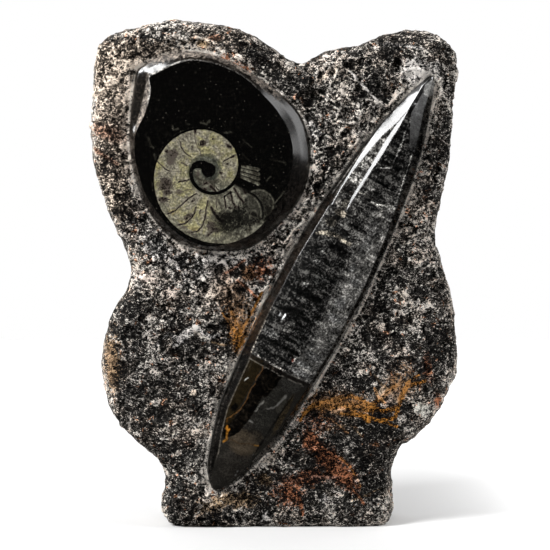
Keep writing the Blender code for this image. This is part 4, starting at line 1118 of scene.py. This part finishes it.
# The straight shell: a long polished spindle with a steep bevel each side and two small facets by its
# point. Along is measured in millimetres from the lower tip, across from the middle line, left below 0.
orthoceras = {
    "tip": (-36.4, 22.9),
    "point": (91.0, 264.7),
    "alongCuts": 540,
    "acrossCuts": 132,
    "sunk": 0.0065,  # how far the wall goes down into the stone
    # Cross sections: along, left bevel's slope and width, crown's edge slope, right bevel's width.
    "sections": (
        (0, 0.9, 1.0, 0.3, 1.0), (12, 1.1, 4.4, 0.3, 2.4), (22, 1.15, 6.2, 0.34, 3.4),
        (32, 1.2, 5.6, 0.34, 4.2), (60, 1.25, 5.9, 0.36, 4.0), (77, 1.25, 6.3, 0.36, 3.8),
        (84, 1.35, 5.3, 0.36, 3.4), (150, 1.45, 5.0, 0.36, 3.4), (185, 1.6, 4.6, 0.34, 4.0),
        (210, 1.9, 3.4, 0.3, 4.6), (235, 1.8, 2.0, 0.22, 5.0), (255, 1.4, 1.4, 0.18, 4.6),
        (273.4, 0.9, 0.6, 0.1, 1.0),
    ),
    # The facets that catch the light: along, then where each begins and ends across.
    "facets": (
        (180, -17.2, -17.2, -8.2, -8.2), (190, -17.6, -16.8, -9.1, -7.7), (200, -17.2, -15.8, -8.5, -6.8),
        (210, -16.5, -14.3, -7.9, -5.9), (220, -15.4, -12.2, -7.4, -4.9), (230, -14.2, -9.9, -7.0, -4.4),
        (240, -12.4, -6.0, -5.6, -3.65), (250, -9.2, -3.6, -3.5, -3.4), (258, -6.8, -3.2, -3.2, -3.1),
        (266, -3.2, -2.6, -2.6, -2.6), (273.4, 0.0, 0.0, 0.0, 0.0),
    ),
    "facetSlope": 0.95,
    "wedgeSlope": 0.10,
    # Sizes across of the grain in the polished shell, in metres.
    "clumpSize": 0.0038,
    "sandSize": 0.0012,
    "bandSize": 0.0030,
    "patchSize": 0.0085,
    "sheenSize": 0.0030,
    "polish": 0.11,
    "bump": (0.12, 0.0004),  # strength and height
    "slide": (3.0, -1.05, 0.987),  # where the marks' own grid starts along and across, and its scale
    # In the marks below, a hue that is one number is a plain grey.
    # The body chamber: middle along and across, reach along and across, hue, how much of it.
    "zones": (
        # The zone at 60 along, lighter grey over the right half, is a painted sheen.
        (20, 4, 16, 9, (0.015, 0.0132, 0.011), 0.9), (60, 9, 24, 9, (0.0125, 0.0118, 0.01), 1.0),
        (31.0, 3.0, 8.4, 9.8, (0.035, 0.027, 0.018), 1.0), (38, 8, 4, 5, (0.023, 0.0185, 0.013), 0.7),
        (61.5, 12.2, 6, 2.4, (0.024, 0.022, 0.0178), 0.8),
        (57, 16.2, 15, 2.0, (0.02, 0.015, 0.0085), 1.0), (74, 12, 5, 7, (0.016, 0.0152, 0.0135), 0.8),
        (33, -10, 6, 3, (0.008, 0.006, 0.003), 0.8),
    ),
    # Shaped zones: a middle line along and across, the reach to each side, hue, how much.
    "sweeps": (
        (((36, -12.4), (44, -13.2), (60, -12.8), (77.4, -12.6)), 2.9, (0.0088, 0.0062, 0.0028), 1.0),
        (((33, -8.0), (36, -6.0), (41, -4.6), (50, -3.6), (62, -3.4), (77.4, -3.0)), 2.4, umber, 1.0),
        (((64, -0.4), (70, 1.0), (77.4, 1.4)), 2.2, umber, 1.0),
        (((46.4, -11.2), (48.2, -10.8)), 1.1, (0.0012, 0.0009, 0.0006), 0.9),
    ),
    # Lines: points along and across, width, hue, how much.
    "lines": (
        (((77.3, -7.8), (74, -7.0), (69, -8.2), (65.7, -7.0), (60.7, -7.8), (55.7, -7.0), (50, -7.6)),
         0.26, (0.06, 0.028, 0.009), 0.8),
        (((50, -7.6), (46, -8.4), (42.6, -10.0), (39, -12.2)), 0.26, (0.065, 0.03, 0.009), 0.85),
        (((35.4, -9.6), (33.8, -9.4), (33.0, -8.2), (34.4, -8.0)), 0.55, (0.19, 0.075, 0.008), 1.0),
        (((32.0, -8.2), (31.0, -7.8)), 0.5, (0.14, 0.06, 0.008), 0.95),
        (((30.0, -7.2), (28.2, -6.2), (26.0, -7.4)), 0.46, (0.15, 0.066, 0.01), 0.9),
        (((37.5, -11.0), (40.0, -11.8)), 0.31, (0.06, 0.026, 0.006), 0.8),
        (((29.5, -4.5), (29.6, 0.5), (31.6, 5.0), (33.4, 9.6)), 0.31, (0.03, 0.016, 0.006), 0.7),
        (((33.2, 9.8), (33.6, 12.4)), 0.37, (0.14, 0.07, 0.014), 0.9),
        (((64.4, -13.4), (66.6, -12.4)), 0.34, (0.3, 0.3, 0.29), 1.0),
        (((68.2, -16.2), (75.6, -17.0)), 0.22, (0.09, 0.085, 0.08), 0.9),
        (((77.0, -17.4), (77.2, -15.6)), 0.28, (0.2, 0.2, 0.19), 0.9),
        (((70, -14.6), (76, -14.6)), 0.25, (0.016, 0.013, 0.009), 0.8),
        (((56.0, 6.2), (57.8, 8.8), (60.6, 10.4)), 0.36, (0.075, 0.072, 0.066), 1.0),
        (((60.6, 10.4), (64, 11.4), (67.6, 12.4)), 0.6, (0.085, 0.082, 0.075), 1.0),
        (((51.4, 0.8), (55, 1.0), (58.8, 2.2)), 0.42, (0.085, 0.082, 0.074), 0.95),
        (((44.6, 0.2), (44.8, 2.2)), 0.42, (0.085, 0.082, 0.076), 0.95),
        (((30, 12.4), (44, 13.4), (59, 14.6), (69, 16.2)), 0.31, (0.0006, 0.0005, 0.0004), 0.95),
        (((36, 15.0), (46, 16.0)), 0.25, (0.018, 0.016, 0.012), 0.8),
        (((56.6, 16.6), (56.6, 17.8)), 0.5, 0.001, 0.9),
        (((11.4, 8.0), (12.0, 8.1)), 0.31, (0.08, 0.08, 0.078), 0.9),
        (((13.6, 8.1), (14.1, 8.2)), 0.31, (0.09, 0.09, 0.088), 0.9),
        (((26.8, 15.6), (28.4, 16.0)), 0.31, 0.14, 0.9),
        (((27.0, 11.6), (28.0, 11.8)), 0.37, (0.035, 0.034, 0.032), 0.9),
        # The last wall of the chambers: a dark seam between two pale ones.
        (((77.1, -18.4), (77.0, -4), (77.0, 8), (77.5, 19.4)), 0.22, (0.085, 0.078, 0.068), 0.85),
        (((79.0, -24.4), (78.6, -12), (78.5, 0), (78.5, 10), (79.2, 22.0)),
         0.66, (0.0055, 0.0044, 0.0036), 1.0),
        (((87.0, -19.4), (83.0, -18.2), (81.2, -13.4), (80.5, -4), (80.2, 8), (80.6, 19.6)),
         0.4, horn, 0.9),
        (((82.2, -16.8), (84.0, -18.6), (88.0, -19.2)), 0.56, (0.065, 0.061, 0.055), 0.8),
        # Walls of the chambers.
        (((85.8, -15), (85.8, 6)), 0.75, ebony, 0.9), (((92.4, -16), (92.6, 7)), 1.11, ebony, 0.95),
        (((97.8, -11), (98, 4)), 0.46, (0.0008, 0.0008, 0.0007), 0.8),
        (((112.6, -15), (113, 3)), 1.22, (0.0008, 0.0008, 0.0007), 0.85),
        (((126, -12.6), (126.6, 3)), 1.86, 0.0004, 0.97), (((139.6, -14), (140, 8)), 0.25, 0.001, 0.7),
        (((149.8, -11), (150, 10)), 0.42, 0.0006, 0.9), (((158, -5), (158.2, -0.5)), 1.48, 0.0004, 0.9),
        (((175.4, -13.8), (174.8, 9.6)), 0.51, 0.0006, 0.9),
        (((192.4, -7), (192.4, 6)), 0.65, 0.0006, 1.0),
        (((191.4, -13.6), (191.2, -8.6)), 0.62, (0.006, 0.004, 0.003), 0.9),
        (((204.2, -5.2), (204.2, 8)), 0.69, 0.0005, 0.95), (((216.3, -3), (216, 9)), 0.65, 0.0006, 0.95),
        (((221.8, -3), (221.4, 9)), 1.4, 0.0005, 0.95), (((228, -2.6), (228, 7)), 0.46, 0.0006, 0.9),
        (((232.4, -2.6), (232.4, 6)), 0.55, 0.0006, 0.9),
        (((235.4, -2.4), (235.4, 4)), 0.38, 0.0006, 0.9),
        (((238.8, -2.2), (238.8, 4)), 0.55, 0.0006, 0.9),
        (((241.8, -2.2), (241.8, 3)), 0.38, 0.0006, 0.9), (((244.6, -2), (244.6, 2)), 0.46, 0.0006, 0.9),
        # Pale crystals between them.
        (((161.0, -16.4), (164.2, -11.0), (165.4, -7.0), (164.6, -2), (164.0, 3.8)),
         0.8, (0.075, 0.066, 0.052), 0.95),
        (((80.6, 7.0), (85.4, 6.9), (91.0, 7.1)), 0.3, (0.07, 0.068, 0.064), 0.7),
        (((101.4, 9.0), (101.6, 18.0)), 0.6, (0.06, 0.058, 0.055), 0.8),
        (((192.1, 3.6), (192.6, 8.0), (194.2, 11.4), (195.4, 14.6), (195.4, 18.2)),
         0.38, (0.26, 0.25, 0.23), 1.0),
        (((193.9, -6), (193.7, 3)), 0.22, (0.05, 0.046, 0.04), 0.9),
        (((193.6, -14), (194.4, -8.4)), 0.25, (0.09, 0.085, 0.078), 0.8),
        (((211.2, -3.8), (213.4, 1.0), (215, 3.8)), 0.34, (0.12, 0.116, 0.11), 0.9),
        (((182, 14.8), (192, 10.6)), 0.25, (0.06, 0.057, 0.05), 0.7),
        (((215, 4.0), (228, 3.4), (238, 1.8), (247, 0.8)), 0.36, (0.07, 0.068, 0.064), 0.9),
        (((196.5, -3.6), (199, 2.0)), 0.43, (0.05, 0.048, 0.045), 0.8),
        (((122.4, -11), (122.8, 3)), 0.5, (0.03, 0.029, 0.027), 0.8),
        (((146, -7), (145.2, 0)), 0.56, (0.036, 0.035, 0.032), 0.7),
        (((148.4, -18), (148, -12)), 0.31, (0.03, 0.029, 0.027), 0.7),
        (((87.0, 6.4), (90.6, 6.6)), 0.22, (0.07, 0.066, 0.06), 0.8),
        (((81.4, 6.6), (86.4, 6.8)), 0.19, (0.07, 0.066, 0.06), 0.8),
        (((106.6, -10.6), (110.4, -10.2)), 0.34, 0.16, 1.0),
        (((107.8, -13.4), (109.4, -13.2)), 0.37, 0.28, 1.0),
        # The edge between the crown and the right bevel.
        (((186, 18.2), (201, 16.0), (213, 13.9), (228, 11.4)), 0.22, (0.11, 0.108, 0.1), 0.9),
    ),
    "patches": (  # along, across, reach along and across, hue, how much
        (88.3, 6.2, 1.2, 1.0, (0.1, 0.014, 0.004), 1.0),
        (178, -9.4, 3.0, 4.4, (0.055, 0.047, 0.036), 0.7),
        (182, -13, 3.0, 2.0, (0.05, 0.047, 0.042), 0.7), (163.2, -11.5, 1.4, 4.4, ginger, 0.9),
        (165.2, -5.5, 1.3, 4.4, ginger, 0.9), (164.4, 0.5, 1.1, 4.0, (0.05, 0.045, 0.037), 0.9),
        (184, -9.6, 4.6, 2.6, (0.036, 0.033, 0.027), 0.6),
        (95, -13.2, 3.0, 4.0, (0.026, 0.0255, 0.024), 0.7),
        (100.4, -1.2, 1.6, 4.6, (0.022, 0.0215, 0.02), 0.7),
        (108, -4.6, 3.0, 2.6, (0.019, 0.0185, 0.017), 0.7),
        (131.6, -7.8, 2.4, 2.0, (0.03, 0.029, 0.027), 0.7),
        (152.6, -8, 1.8, 1.8, (0.04, 0.038, 0.034), 0.7),
        # These pale grey patches on the right half brighten the painted sheen.
        (83.4, 13.6, 2.8, 9.0, (0.058, 0.057, 0.055), 1.0),
        (88.8, 13.2, 1.9, 8.0, (0.085, 0.084, 0.081), 1.0),
        (95.4, 16, 3.6, 7.6, (0.058, 0.057, 0.055), 1.0),
        (121.6, 16.4, 3.0, 6.0, (0.062, 0.061, 0.059), 0.9),
        (131, 15.4, 4.6, 4.6, (0.068, 0.067, 0.065), 0.9), (147, 16.6, 5.0, 3.6, slate, 0.8),
        (152, 12, 4.0, 3.0, (0.062, 0.061, 0.059), 0.8), (168, 12.4, 6.0, 4.0, slate, 0.8),
        (178, 12.0, 8.0, 5.0, (0.048, 0.047, 0.045), 0.8),
        (85.2, -1, 1.4, 5.0, (0.022, 0.0215, 0.02), 0.6),
        (96, -12, 3.2, 6.0, (0.034, 0.0335, 0.032), 0.8), (103, -5, 4.4, 3.4, (0.026, 0.025, 0.023), 0.8),
        (122, -8, 1.6, 6.0, ash, 0.8), (131, -8, 3.0, 2.4, ash, 0.8), (146, -6, 2.2, 7.0, ash, 0.8),
        (153, -9, 3.0, 3.0, ash, 0.8), (171, -12, 4.0, 4.0, (0.034, 0.03, 0.024), 0.8),
        (137, -2, 5.0, 6.0, (0.006, 0.006, 0.0056), 0.7),
        (113, -6, 6.0, 9.0, (0.0036, 0.0035, 0.0033), 0.8),
        (126, -3, 2.4, 9.0, (0.0016, 0.0016, 0.0015), 0.9),
        (158, 0, 4.0, 6.0, (0.003, 0.0028, 0.0026), 0.8), (104, 4, 10, 5, (0.004, 0.0039, 0.0037), 0.7),
    ),
}


def spindlePlace(along, across, up):
    # From along and across to the frame; up is measured out from the stone's face.
    tip, point = (np.array(orthoceras[name]) for name in ("tip", "point"))
    run = (point - tip) / np.linalg.norm(point - tip)
    x = tip[0] + run[0] * along + run[1] * across
    z = tip[1] + run[1] * along - run[0] * across
    return middleX + x * millimetre, stoneFace - up * millimetre, z * millimetre


def spindleEdges():
    # The shell's outline as half widths to the left and right, for any distance along.
    tip, point = (np.array(orthoceras[name]) for name in ("tip", "point"))
    long = np.linalg.norm(point - tip)
    run = (point - tip) / long
    apart = (outlines["orthoceras"] - (middleX, 0)) / millimetre - tip
    along, across = apart @ run, apart @ (run[1], -run[0])
    sides = []
    for side in (-1, 1):
        kept = across * side > 0
        order = np.argsort(along[kept])
        at = np.concatenate(([along.min()], along[kept][order], [along.max()]))
        sides.append((at, np.concatenate(([0.0], (across * side)[kept][order], [0.0]))))
    return along.min(), along.max(), sides


def spindleHeight(along, across, left, right):
    # The height over one place: it climbs from the left edge over bevel, facets and crown.
    at, *rows = np.array(orthoceras["sections"]).T
    slope, leftBevel, crown, rightBevel = (np.interp(along, at, row) for row in rows)
    at, *marks = np.array(orthoceras["facets"]).T
    firstStart, firstEnd, nextStart, nextEnd = (np.interp(along, at, row) for row in marks)
    hasFacets = along > 180
    bevelEnd = np.where(hasFacets, np.maximum(firstStart, -left), -left + leftBevel)
    firstEnd = np.where(hasFacets, np.maximum(firstEnd, bevelEnd), bevelEnd)
    nextStart = np.where(hasFacets, np.maximum(nextStart, firstEnd), bevelEnd)
    nextEnd = np.where(hasFacets, np.maximum(nextEnd, nextStart), bevelEnd)
    facet = orthoceras["facetSlope"]
    height = slope * (np.minimum(across, bevelEnd) + left)
    height += facet * np.clip(across - bevelEnd, 0, firstEnd - bevelEnd)
    height += orthoceras["wedgeSlope"] * np.clip(across - firstEnd, 0, nextStart - firstEnd)
    height += facet * np.clip(across - nextStart, 0, nextEnd - nextStart)
    # From there the crown is a shallow arch that meets the right bevel at the same slope.
    start, end = nextEnd, np.maximum(right - rightBevel, nextEnd + 0.1)
    share = np.clip((across - start) / (end - start), 0, 1)
    bow = crown * (end - start) * share * (1 - share)
    rise = bow * np.where(hasFacets, 1 - smoothStep(along, 180, 235) * 0.4, 1.0)
    ridge = slope * (bevelEnd + left) + facet * (firstEnd - bevelEnd + nextEnd - nextStart)
    ridge = ridge + orthoceras["wedgeSlope"] * (nextStart - firstEnd)
    lip = rightBevel * 1.9
    fall = (ridge - lip) * share
    beyond = lip * (right - across) / np.maximum(right - end, 0.05)
    return np.where(across > end, beyond, height + rise - fall)


def buildOrthoceras():
    low, high, sides = spindleEdges()
    cutsAlong, cutsAcross = orthoceras["alongCuts"], orthoceras["acrossCuts"]
    bm = bmesh.new()
    bmesh.ops.create_grid(bm, x_segments=cutsAlong, y_segments=cutsAcross + 2, size=1.0)
    places = np.array([v.co for v in bm.verts])
    share = (places[:, 0] + 1) / 2
    along = low + (high - low) * (share + (1 - np.cos(math.pi * share)) / 2) / 2
    left, right = (np.interp(along, *side) for side in sides)
    column = np.round((places[:, 1] + 1) / 2 * (cutsAcross + 2)) - 1
    across = -left + (left + right) * np.clip(column / cutsAcross, 0, 1)
    heights = spindleHeight(along, across, left, right)
    buried = (column < 0) | (column > cutsAcross)
    heights = np.where(buried, -orthoceras["sunk"] / millimetre, heights)
    x, y, z = spindlePlace(along, across, heights)
    alongLayer, acrossLayer = (bm.verts.layers.float.new(name) for name in ("along", "across"))
    for vert, *place, far, wide in zip(bm.verts, x, y, z, along, across):
        vert.co = place
        vert[alongLayer], vert[acrossLayer] = far, wide
    bmesh.ops.remove_doubles(bm, verts=bm.verts, dist=0.000002)
    closeUp(bm)
    made = endMesh(bm, "polishedOrthoceras")
    made.data.shade_smooth()
    paintOrthoceras(made, sides)
    print("orthoceras built:", len(made.data.polygons), "faces")
    return made


def facetAt(along, which):
    # Where a facet begins or ends across, for any distance along.
    rows = np.array(orthoceras["facets"]).T
    return np.interp(along, rows[0], rows[which])


def readValues(mesh, name):
    found = np.empty(len(mesh.vertices))
    mesh.attributes[name].data.foreach_get("value", found)
    return found


def paintOrthoceras(made, sides):
    mesh = made.data
    along, across = readValues(mesh, "along"), readValues(mesh, "across")
    left, right = (np.interp(along, *side) for side in sides)
    start, middle, scale = orthoceras["slide"]
    # Far and wide are along and across in the marks' own grid.
    far, wide = (along - start) / scale, (across - middle) / scale
    flat = np.column_stack((far, far * 0, wide)) * millimetre
    wander = wandering(flat, 0.0022) * 0.0005
    broad = wandering(flat, 0.012) * 0.0016
    wander[:, 1] = 0
    ragged = flat + wander + (middleX, 0, 0)
    chambered = smoothStep(far, 79.5, 80.1)
    # The chambers: dark on the left and over the middle, pale grey towards the right; the pale grey is
    # partly the shell's own and partly a painted sheen, a reflection painted into the colour.
    shift = (wander[:, 0] + broad[:, 0]) * 1800
    pale = smoothStep(wide + shift, 5.0, 11.0) * (1 - smoothStep(far + shift, 166, 226))
    pale = pale * (1 - 0.35 * smoothStep(far + shift, 100, 108) * (1 - smoothStep(wide + shift, 9, 14)))
    paintedSheenBoost = between(far + shift, 118, 140, 178, 196)
    tone = 0.0088 + 0.0080 * smoothStep(far + shift, 160, 168) * (1 - smoothStep(far, 198, 204))
    tone = tone + 0.040 * pale * (1 + 0.65 * paintedSheenBoost)
    wedge = between(far, 192, 198, 236, 246)
    wedge = wedge * (across < facetAt(along, 3))
    tone = tone + 0.048 * wedge
    colour = np.column_stack((tone * 1.04, tone, tone * 0.93))
    body = np.array((0.0110, 0.0100, 0.0084))
    colour = colour * chambered[:, None] + body * (1 - chambered)[:, None]

    def lay(share, hue, much=1.0):
        nonlocal colour
        share = (np.clip(share, 0, 1) * much)[:, None]
        colour = colour * (1 - share) + np.array(hue) * share

    for middle, aside, reachAlong, reachAcross, hue, much in orthoceras["zones"]:
        share = roundShare(ragged, middle, aside, reachAlong, reachAcross)
        lay(smoothStep(share, 0.02, 0.40) * (1 - chambered), hue, much)
    for path, reach, hue, much in orthoceras["sweeps"]:
        lay(smoothStep(pathShare(ragged, path, reach), 0.02, 0.16) * (1 - chambered), hue, much)
    for middle, aside, reachAlong, reachAcross, hue, much in orthoceras["patches"]:
        lay(smoothStep(roundShare(ragged, middle, aside, reachAlong, reachAcross), 0.05, 0.6), hue, much)
    torn = np.array([noise.noise(Vector(p) / 0.0013) for p in flat])
    for path, width, hue, much in orthoceras["lines"]:
        lay(pathShare(ragged, path, width) * smoothStep(torn, -0.7, -0.2), hue, much)
    at, _, leftBevel, _, rightBevel = np.array(orthoceras["sections"]).T
    edge = np.minimum(across + left, right - across)
    leftShare = 1 - smoothStep(across + left - np.interp(along, at, leftBevel), -0.35, 0.15)
    rightShare = smoothStep(across - right + np.interp(along, at, rightBevel), -0.15, 0.35)
    seam = pathShare(ragged, ((79.9, -26), (79.8, -12)), 1.2)
    brown = smoothStep(along + broad[:, 0] * 4000, 82, 96)
    lay(leftShare, (0.0016, 0.0014, 0.0012))
    lay(leftShare * brown, (0.0095, 0.0070, 0.0052))
    rib = 0.5 + 0.5 * np.sin(edge * 3.6 + 1.2 * wander[:, 0] * 2000)
    lay(leftShare * brown * rib * smoothStep(along, 100, 130), (0.0036, 0.0028, 0.0022), 0.8)
    lay(leftShare * smoothStep(along, 180, 200) * (along < 262), (0.0040, 0.0034, 0.0029), 0.8)
    lip = bell(across + left - np.interp(along, at, leftBevel), -0.1, 0.36)
    lip = lip * (0.35 + 0.65 * smoothStep(torn, -0.25, 0.15))
    rubbed = bell(edge, 2.3, 0.32) * leftShare * smoothStep(torn, -0.1, 0.2)
    lay(rubbed * (1 - smoothStep(along, 76, 84)), (0.040, 0.036, 0.031), 0.8)
    lay(lip * between(along, 14, 24, 96, 124), (0.075, 0.066, 0.055), 0.85)
    first = facetAt(along, 1)
    # A painted highlight in bone along the first facet's upper edge.
    paintedFacetHighlight = between(across, first - 1.5, first - 0.5, first + 1.3, first + 2.2)
    lay(paintedFacetHighlight * between(along, 182, 196, 222, 236), bone, 0.75)
    lay(bell(edge, 1.1, 0.35) * leftShare * smoothStep(along, 84, 120), 0.0008, 0.9)
    lay(leftShare * seam, (0.0060, 0.0042, 0.0034))
    rust = roundShare(ragged, 96, -23.4, 15, 1.6)
    lay(leftShare * smoothStep(rust + wander[:, 2] * 900, 0.25, 0.7), (0.050, 0.027, 0.015), 0.7)
    lay(rightShare, (0.0045, 0.0040, 0.0034))
    lay(rightShare * smoothStep(along, 110, 170), 0.0008)
    lay(rightShare * (1 - smoothStep(along, 16, 34)), (0.010, 0.0092, 0.0080), 0.9)
    lay(bell(edge, 0.15, 0.35) * (1 - smoothStep(along, 255, 262)), bone, 0.85)
    chipped = bell(right - across, 0.95, 0.35) * smoothStep(torn, -0.35, -0.05)
    lay(chipped * between(far, 66, 84, 120, 136), (0.17, 0.16, 0.145), 0.9)
    for first, last in ((1, 2), (3, 4)):
        begin, end = (facetAt(along, which) for which in (first, last))
        lay((across > begin) & (across < end) & (along > 186), 0.004, 0.95)
    outer = (across < facetAt(along, 1)) & (along > 186)
    lay(outer * (0.5 + 0.5 * np.sin(edge * 5.2)) * (along < 262), (0.030, 0.028, 0.025), 0.5)
    for middle in (1.5, 2.9):
        lay(outer * (1 - smoothStep(np.abs(edge - middle), 0.25, 0.55)), soot, 0.95)
    rubbed = bell(edge, 2.25, 0.3) * smoothStep(torn, -0.35, 0.0)
    lay(outer * rubbed * (along < 256), horn, 0.9)
    ridge = np.interp(far, (226, 234, 243, 249, 263), (9.5, 6.3, 2.1, -0.3, 0.3))
    lay(smoothStep(far, 245, 249) * (wide > -4) * (wide < ridge) * (far < 263), soot)
    beyond = (wide > ridge) * smoothStep(far, 224, 246) * (1 - rightShare) * (far < 263)
    lay(beyond, (0.054, 0.0535, 0.053))
    lump = smoothStep(roundShare(ragged, 267, 3.2, 6.4, 4.6), 0.25, 0.45)
    lay(lump, (0.078, 0.076, 0.071))
    hollow = smoothStep(roundShare(ragged, 270.4, -0.9, 3.0, 2.0), 0.2, 0.45)
    lay(hollow, 0.001)
    plain = np.maximum(leftShare * 0.55, np.maximum(rightShare * 0.8, smoothStep(far, 246, 250) * 0.75))
    plain = np.maximum(plain, (wide > ridge) * smoothStep(far, 226, 236) * 0.8)
    inky = smoothStep(-colour[:, 1], -0.006, -0.002) * (1 - chambered)
    plain *= 1 - smoothStep(far, 260, 263)
    grainy = np.maximum(chambered, 0.22 + 0.5 * inky) * (1 - plain) * (1 - 0.35 * pale)
    grainy = grainy * (1 - 0.6 * smoothStep(far, 258, 262))
    stored = np.clip(colour * toneScale, 0, 1) ** 0.5
    paint(mesh, "tone", np.column_stack((stored, np.ones(len(along)))))
    paint(mesh, "grainy", grainy)
    ended = smoothStep(far - np.minimum(wide + 3, 0) * 1.8 + shift * 0.6, 261.5, 264.5) * (wide < -2.2)
    paint(mesh, "dull", np.maximum(ended, lump) * (1 - hollow))


def orthocerasMaterial():
    material, wire = newMaterial("polishedOrthoceras")
    along, across, grainy, dull = (carry(wire, name) for name in ("along", "across", "grainy", "dull"))
    place = wire.node(
        "ShaderNodeCombineXYZ", None, {0: along * millimetre, 1: across * millimetre, 2: 0.0}
    )
    stretched = wire.node(
        "ShaderNodeCombineXYZ", None, {0: along * millimetre, 1: across * (millimetre * 0.35), 2: 0.3}
    )
    clumps = grain(wire, place, orthoceras["clumpSize"], 5.0, 0.72, 1.2)
    sand = grain(wire, place, orthoceras["sandSize"], 3.0, 0.75)
    bands = grain(wire, stretched, orthoceras["bandSize"], 3.0, 0.6, 0.3)
    patchy = grain(wire, place, orthoceras["patchSize"], 2.0, 0.5, 0.5)
    sheen = strokes(wire, place, orthoceras["sheenSize"], 0.12, 1.5, 0.7, 1.7)
    tone = (clumps - 0.5) * 11.0 + (sand - 0.5) * 12.0 + (bands - 0.5) * 9.0
    tone = tone + (patchy - 0.5) * 3.0 + sheen * 0.8 - 0.2
    gain = wire.maths("POWER", math.e, tone * grainy)
    gain = wire.maths("MINIMUM", gain, 12.0)
    tones = carry(wire, "tone", "Color")
    squared = blend(wire, tones, tones, 1.0, "MULTIPLY")
    colour = dimmed(wire, squared, gain * (1 / toneScale))
    height = (clumps - 0.5) * grainy
    strength, distance = orthoceras["bump"]
    sockets = {"Strength": strength, "Distance": distance, "Height": height}
    normal = wire.node("ShaderNodeBump", None, sockets)
    finishMaterial(material, colour, orthoceras["polish"] + grainy * 0.12 + dull * 0.5, normal)
    return material


polishedOrthoceras = buildOrthoceras()
polishedOrthoceras.data.materials.append(orthocerasMaterial())
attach(polishedOrthoceras, "root")
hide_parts("orthoceras")

studio = {
    "lens": 150,
    "rise": 4.0,  # degrees above level
    "frameWidth": 0.3185,
    "aim": (0.0004, 0.150),  # x and z of the middle of the frame, on the stone's face
    "floor": (1.2, 0.75, 1.1),  # reach to each side, in front and behind
    "floorColour": (0.9, 0.9, 0.9, 1.0),
    # Lights: place, aim, size and power.
    "key": ((-0.80, -0.62, 0.98), (0, 0, 0.17), (0.42, 0.42), 21),
    "side": ((0.9, -0.22, 0.775), (-0.5, -0.22, 0.775), (0.40, 1.2), 6.6),
    "rim": ((-0.68, -0.10, 0.84), (0, -0.03, 0.22), (0.22, 0.65), 12.6),
    "backdrop": ((0.1, 1.0, 0.7), (0.1, 1.01, 0), (2.4, 0.7), 15),
    "glow": ((0.19, 0.2, 0.06), (0.19, 0.2, 0), (0.05, 0.7), 0.27),
    "fill": 0.16,  # how bright the white room is to matt surfaces
}


def addLight(name, place, aim, size, power):
    lamp = bpy.data.lights.new(name, "AREA")
    lamp.shape = "RECTANGLE"
    lamp.size, lamp.size_y = size
    lamp.energy = power
    made = bpy.data.objects.new(name, lamp)
    made.location = place
    made.rotation_euler = (Vector(aim) - Vector(place)).to_track_quat("-Z", "Y").to_euler()
    made.visible_glossy = name not in ("backdrop", "glow")
    made.visible_camera = name != "glow"
    bpy.context.scene.collection.objects.link(made)


def addCamera():
    lens = bpy.data.cameras.new("camera")
    lens.lens = studio["lens"]
    camera = bpy.data.objects.new("camera", lens)
    bpy.context.scene.collection.objects.link(camera)
    far = studio["frameWidth"] * lens.lens / lens.sensor_width
    rise = math.radians(studio["rise"])
    aimX, aimZ = studio["aim"]
    camera.location = (aimX, cadBox[0].y - far * math.cos(rise), aimZ + far * math.sin(rise))
    camera.rotation_euler = (math.pi / 2 - rise, 0, 0)
    bpy.context.scene.camera = camera


def addFloor():
    side, front, behind = studio["floor"]
    bm = bmesh.new()
    bmesh.ops.create_grid(bm, x_segments=1, y_segments=1, size=1.0)
    bmesh.ops.scale(bm, vec=(side, (front + behind) / 2, 1), verts=bm.verts)
    bmesh.ops.translate(bm, vec=(0, (behind - front) / 2, 0), verts=bm.verts)
    floor = endMesh(bm, "floor")
    material = newMaterial("paleFloor")[0]
    finishMaterial(material, studio["floorColour"], 0.7)
    floor.data.materials.append(material)
    floor.visible_glossy = False  # the polished faces mirror a dark room


def addRoom():
    # White to the camera, dim to matt surfaces and dark to polished ones.
    world = bpy.data.worlds.new("room")
    bpy.context.scene.world = world
    world.use_nodes = True
    tree = world.node_tree
    wire = Wire(tree)
    seen = wire.node("ShaderNodeLightPath", None, None, "Is Camera Ray")
    matt = wire.node("ShaderNodeLightPath", None, None, "Is Diffuse Ray")
    background = tree.nodes["Background"]
    background.inputs["Color"].default_value = (1, 1, 1, 1)
    tree.links.new((seen + matt * studio["fill"]).socket, background.inputs["Strength"])


addCamera()
addFloor()
addRoom()
for name in ("key", "side", "rim", "backdrop", "glow"):
    addLight(name, *studio[name])
# The rim light leaves the floor alone, and the low glow lights nothing else: it ends the key's shadow.
for name, state in (("rim", "EXCLUDE"), ("glow", "INCLUDE")):
    linked = bpy.data.collections.new(name + "Floor")
    linked.objects.link(bpy.data.objects["floor"])
    linked.collection_objects[0].light_linking.link_state = state
    bpy.data.objects[name].light_linking.receiver_collection = linked
bpy.context.scene.view_settings.view_transform = "Standard"
print("studio set with", len(bpy.data.lights), "lights")
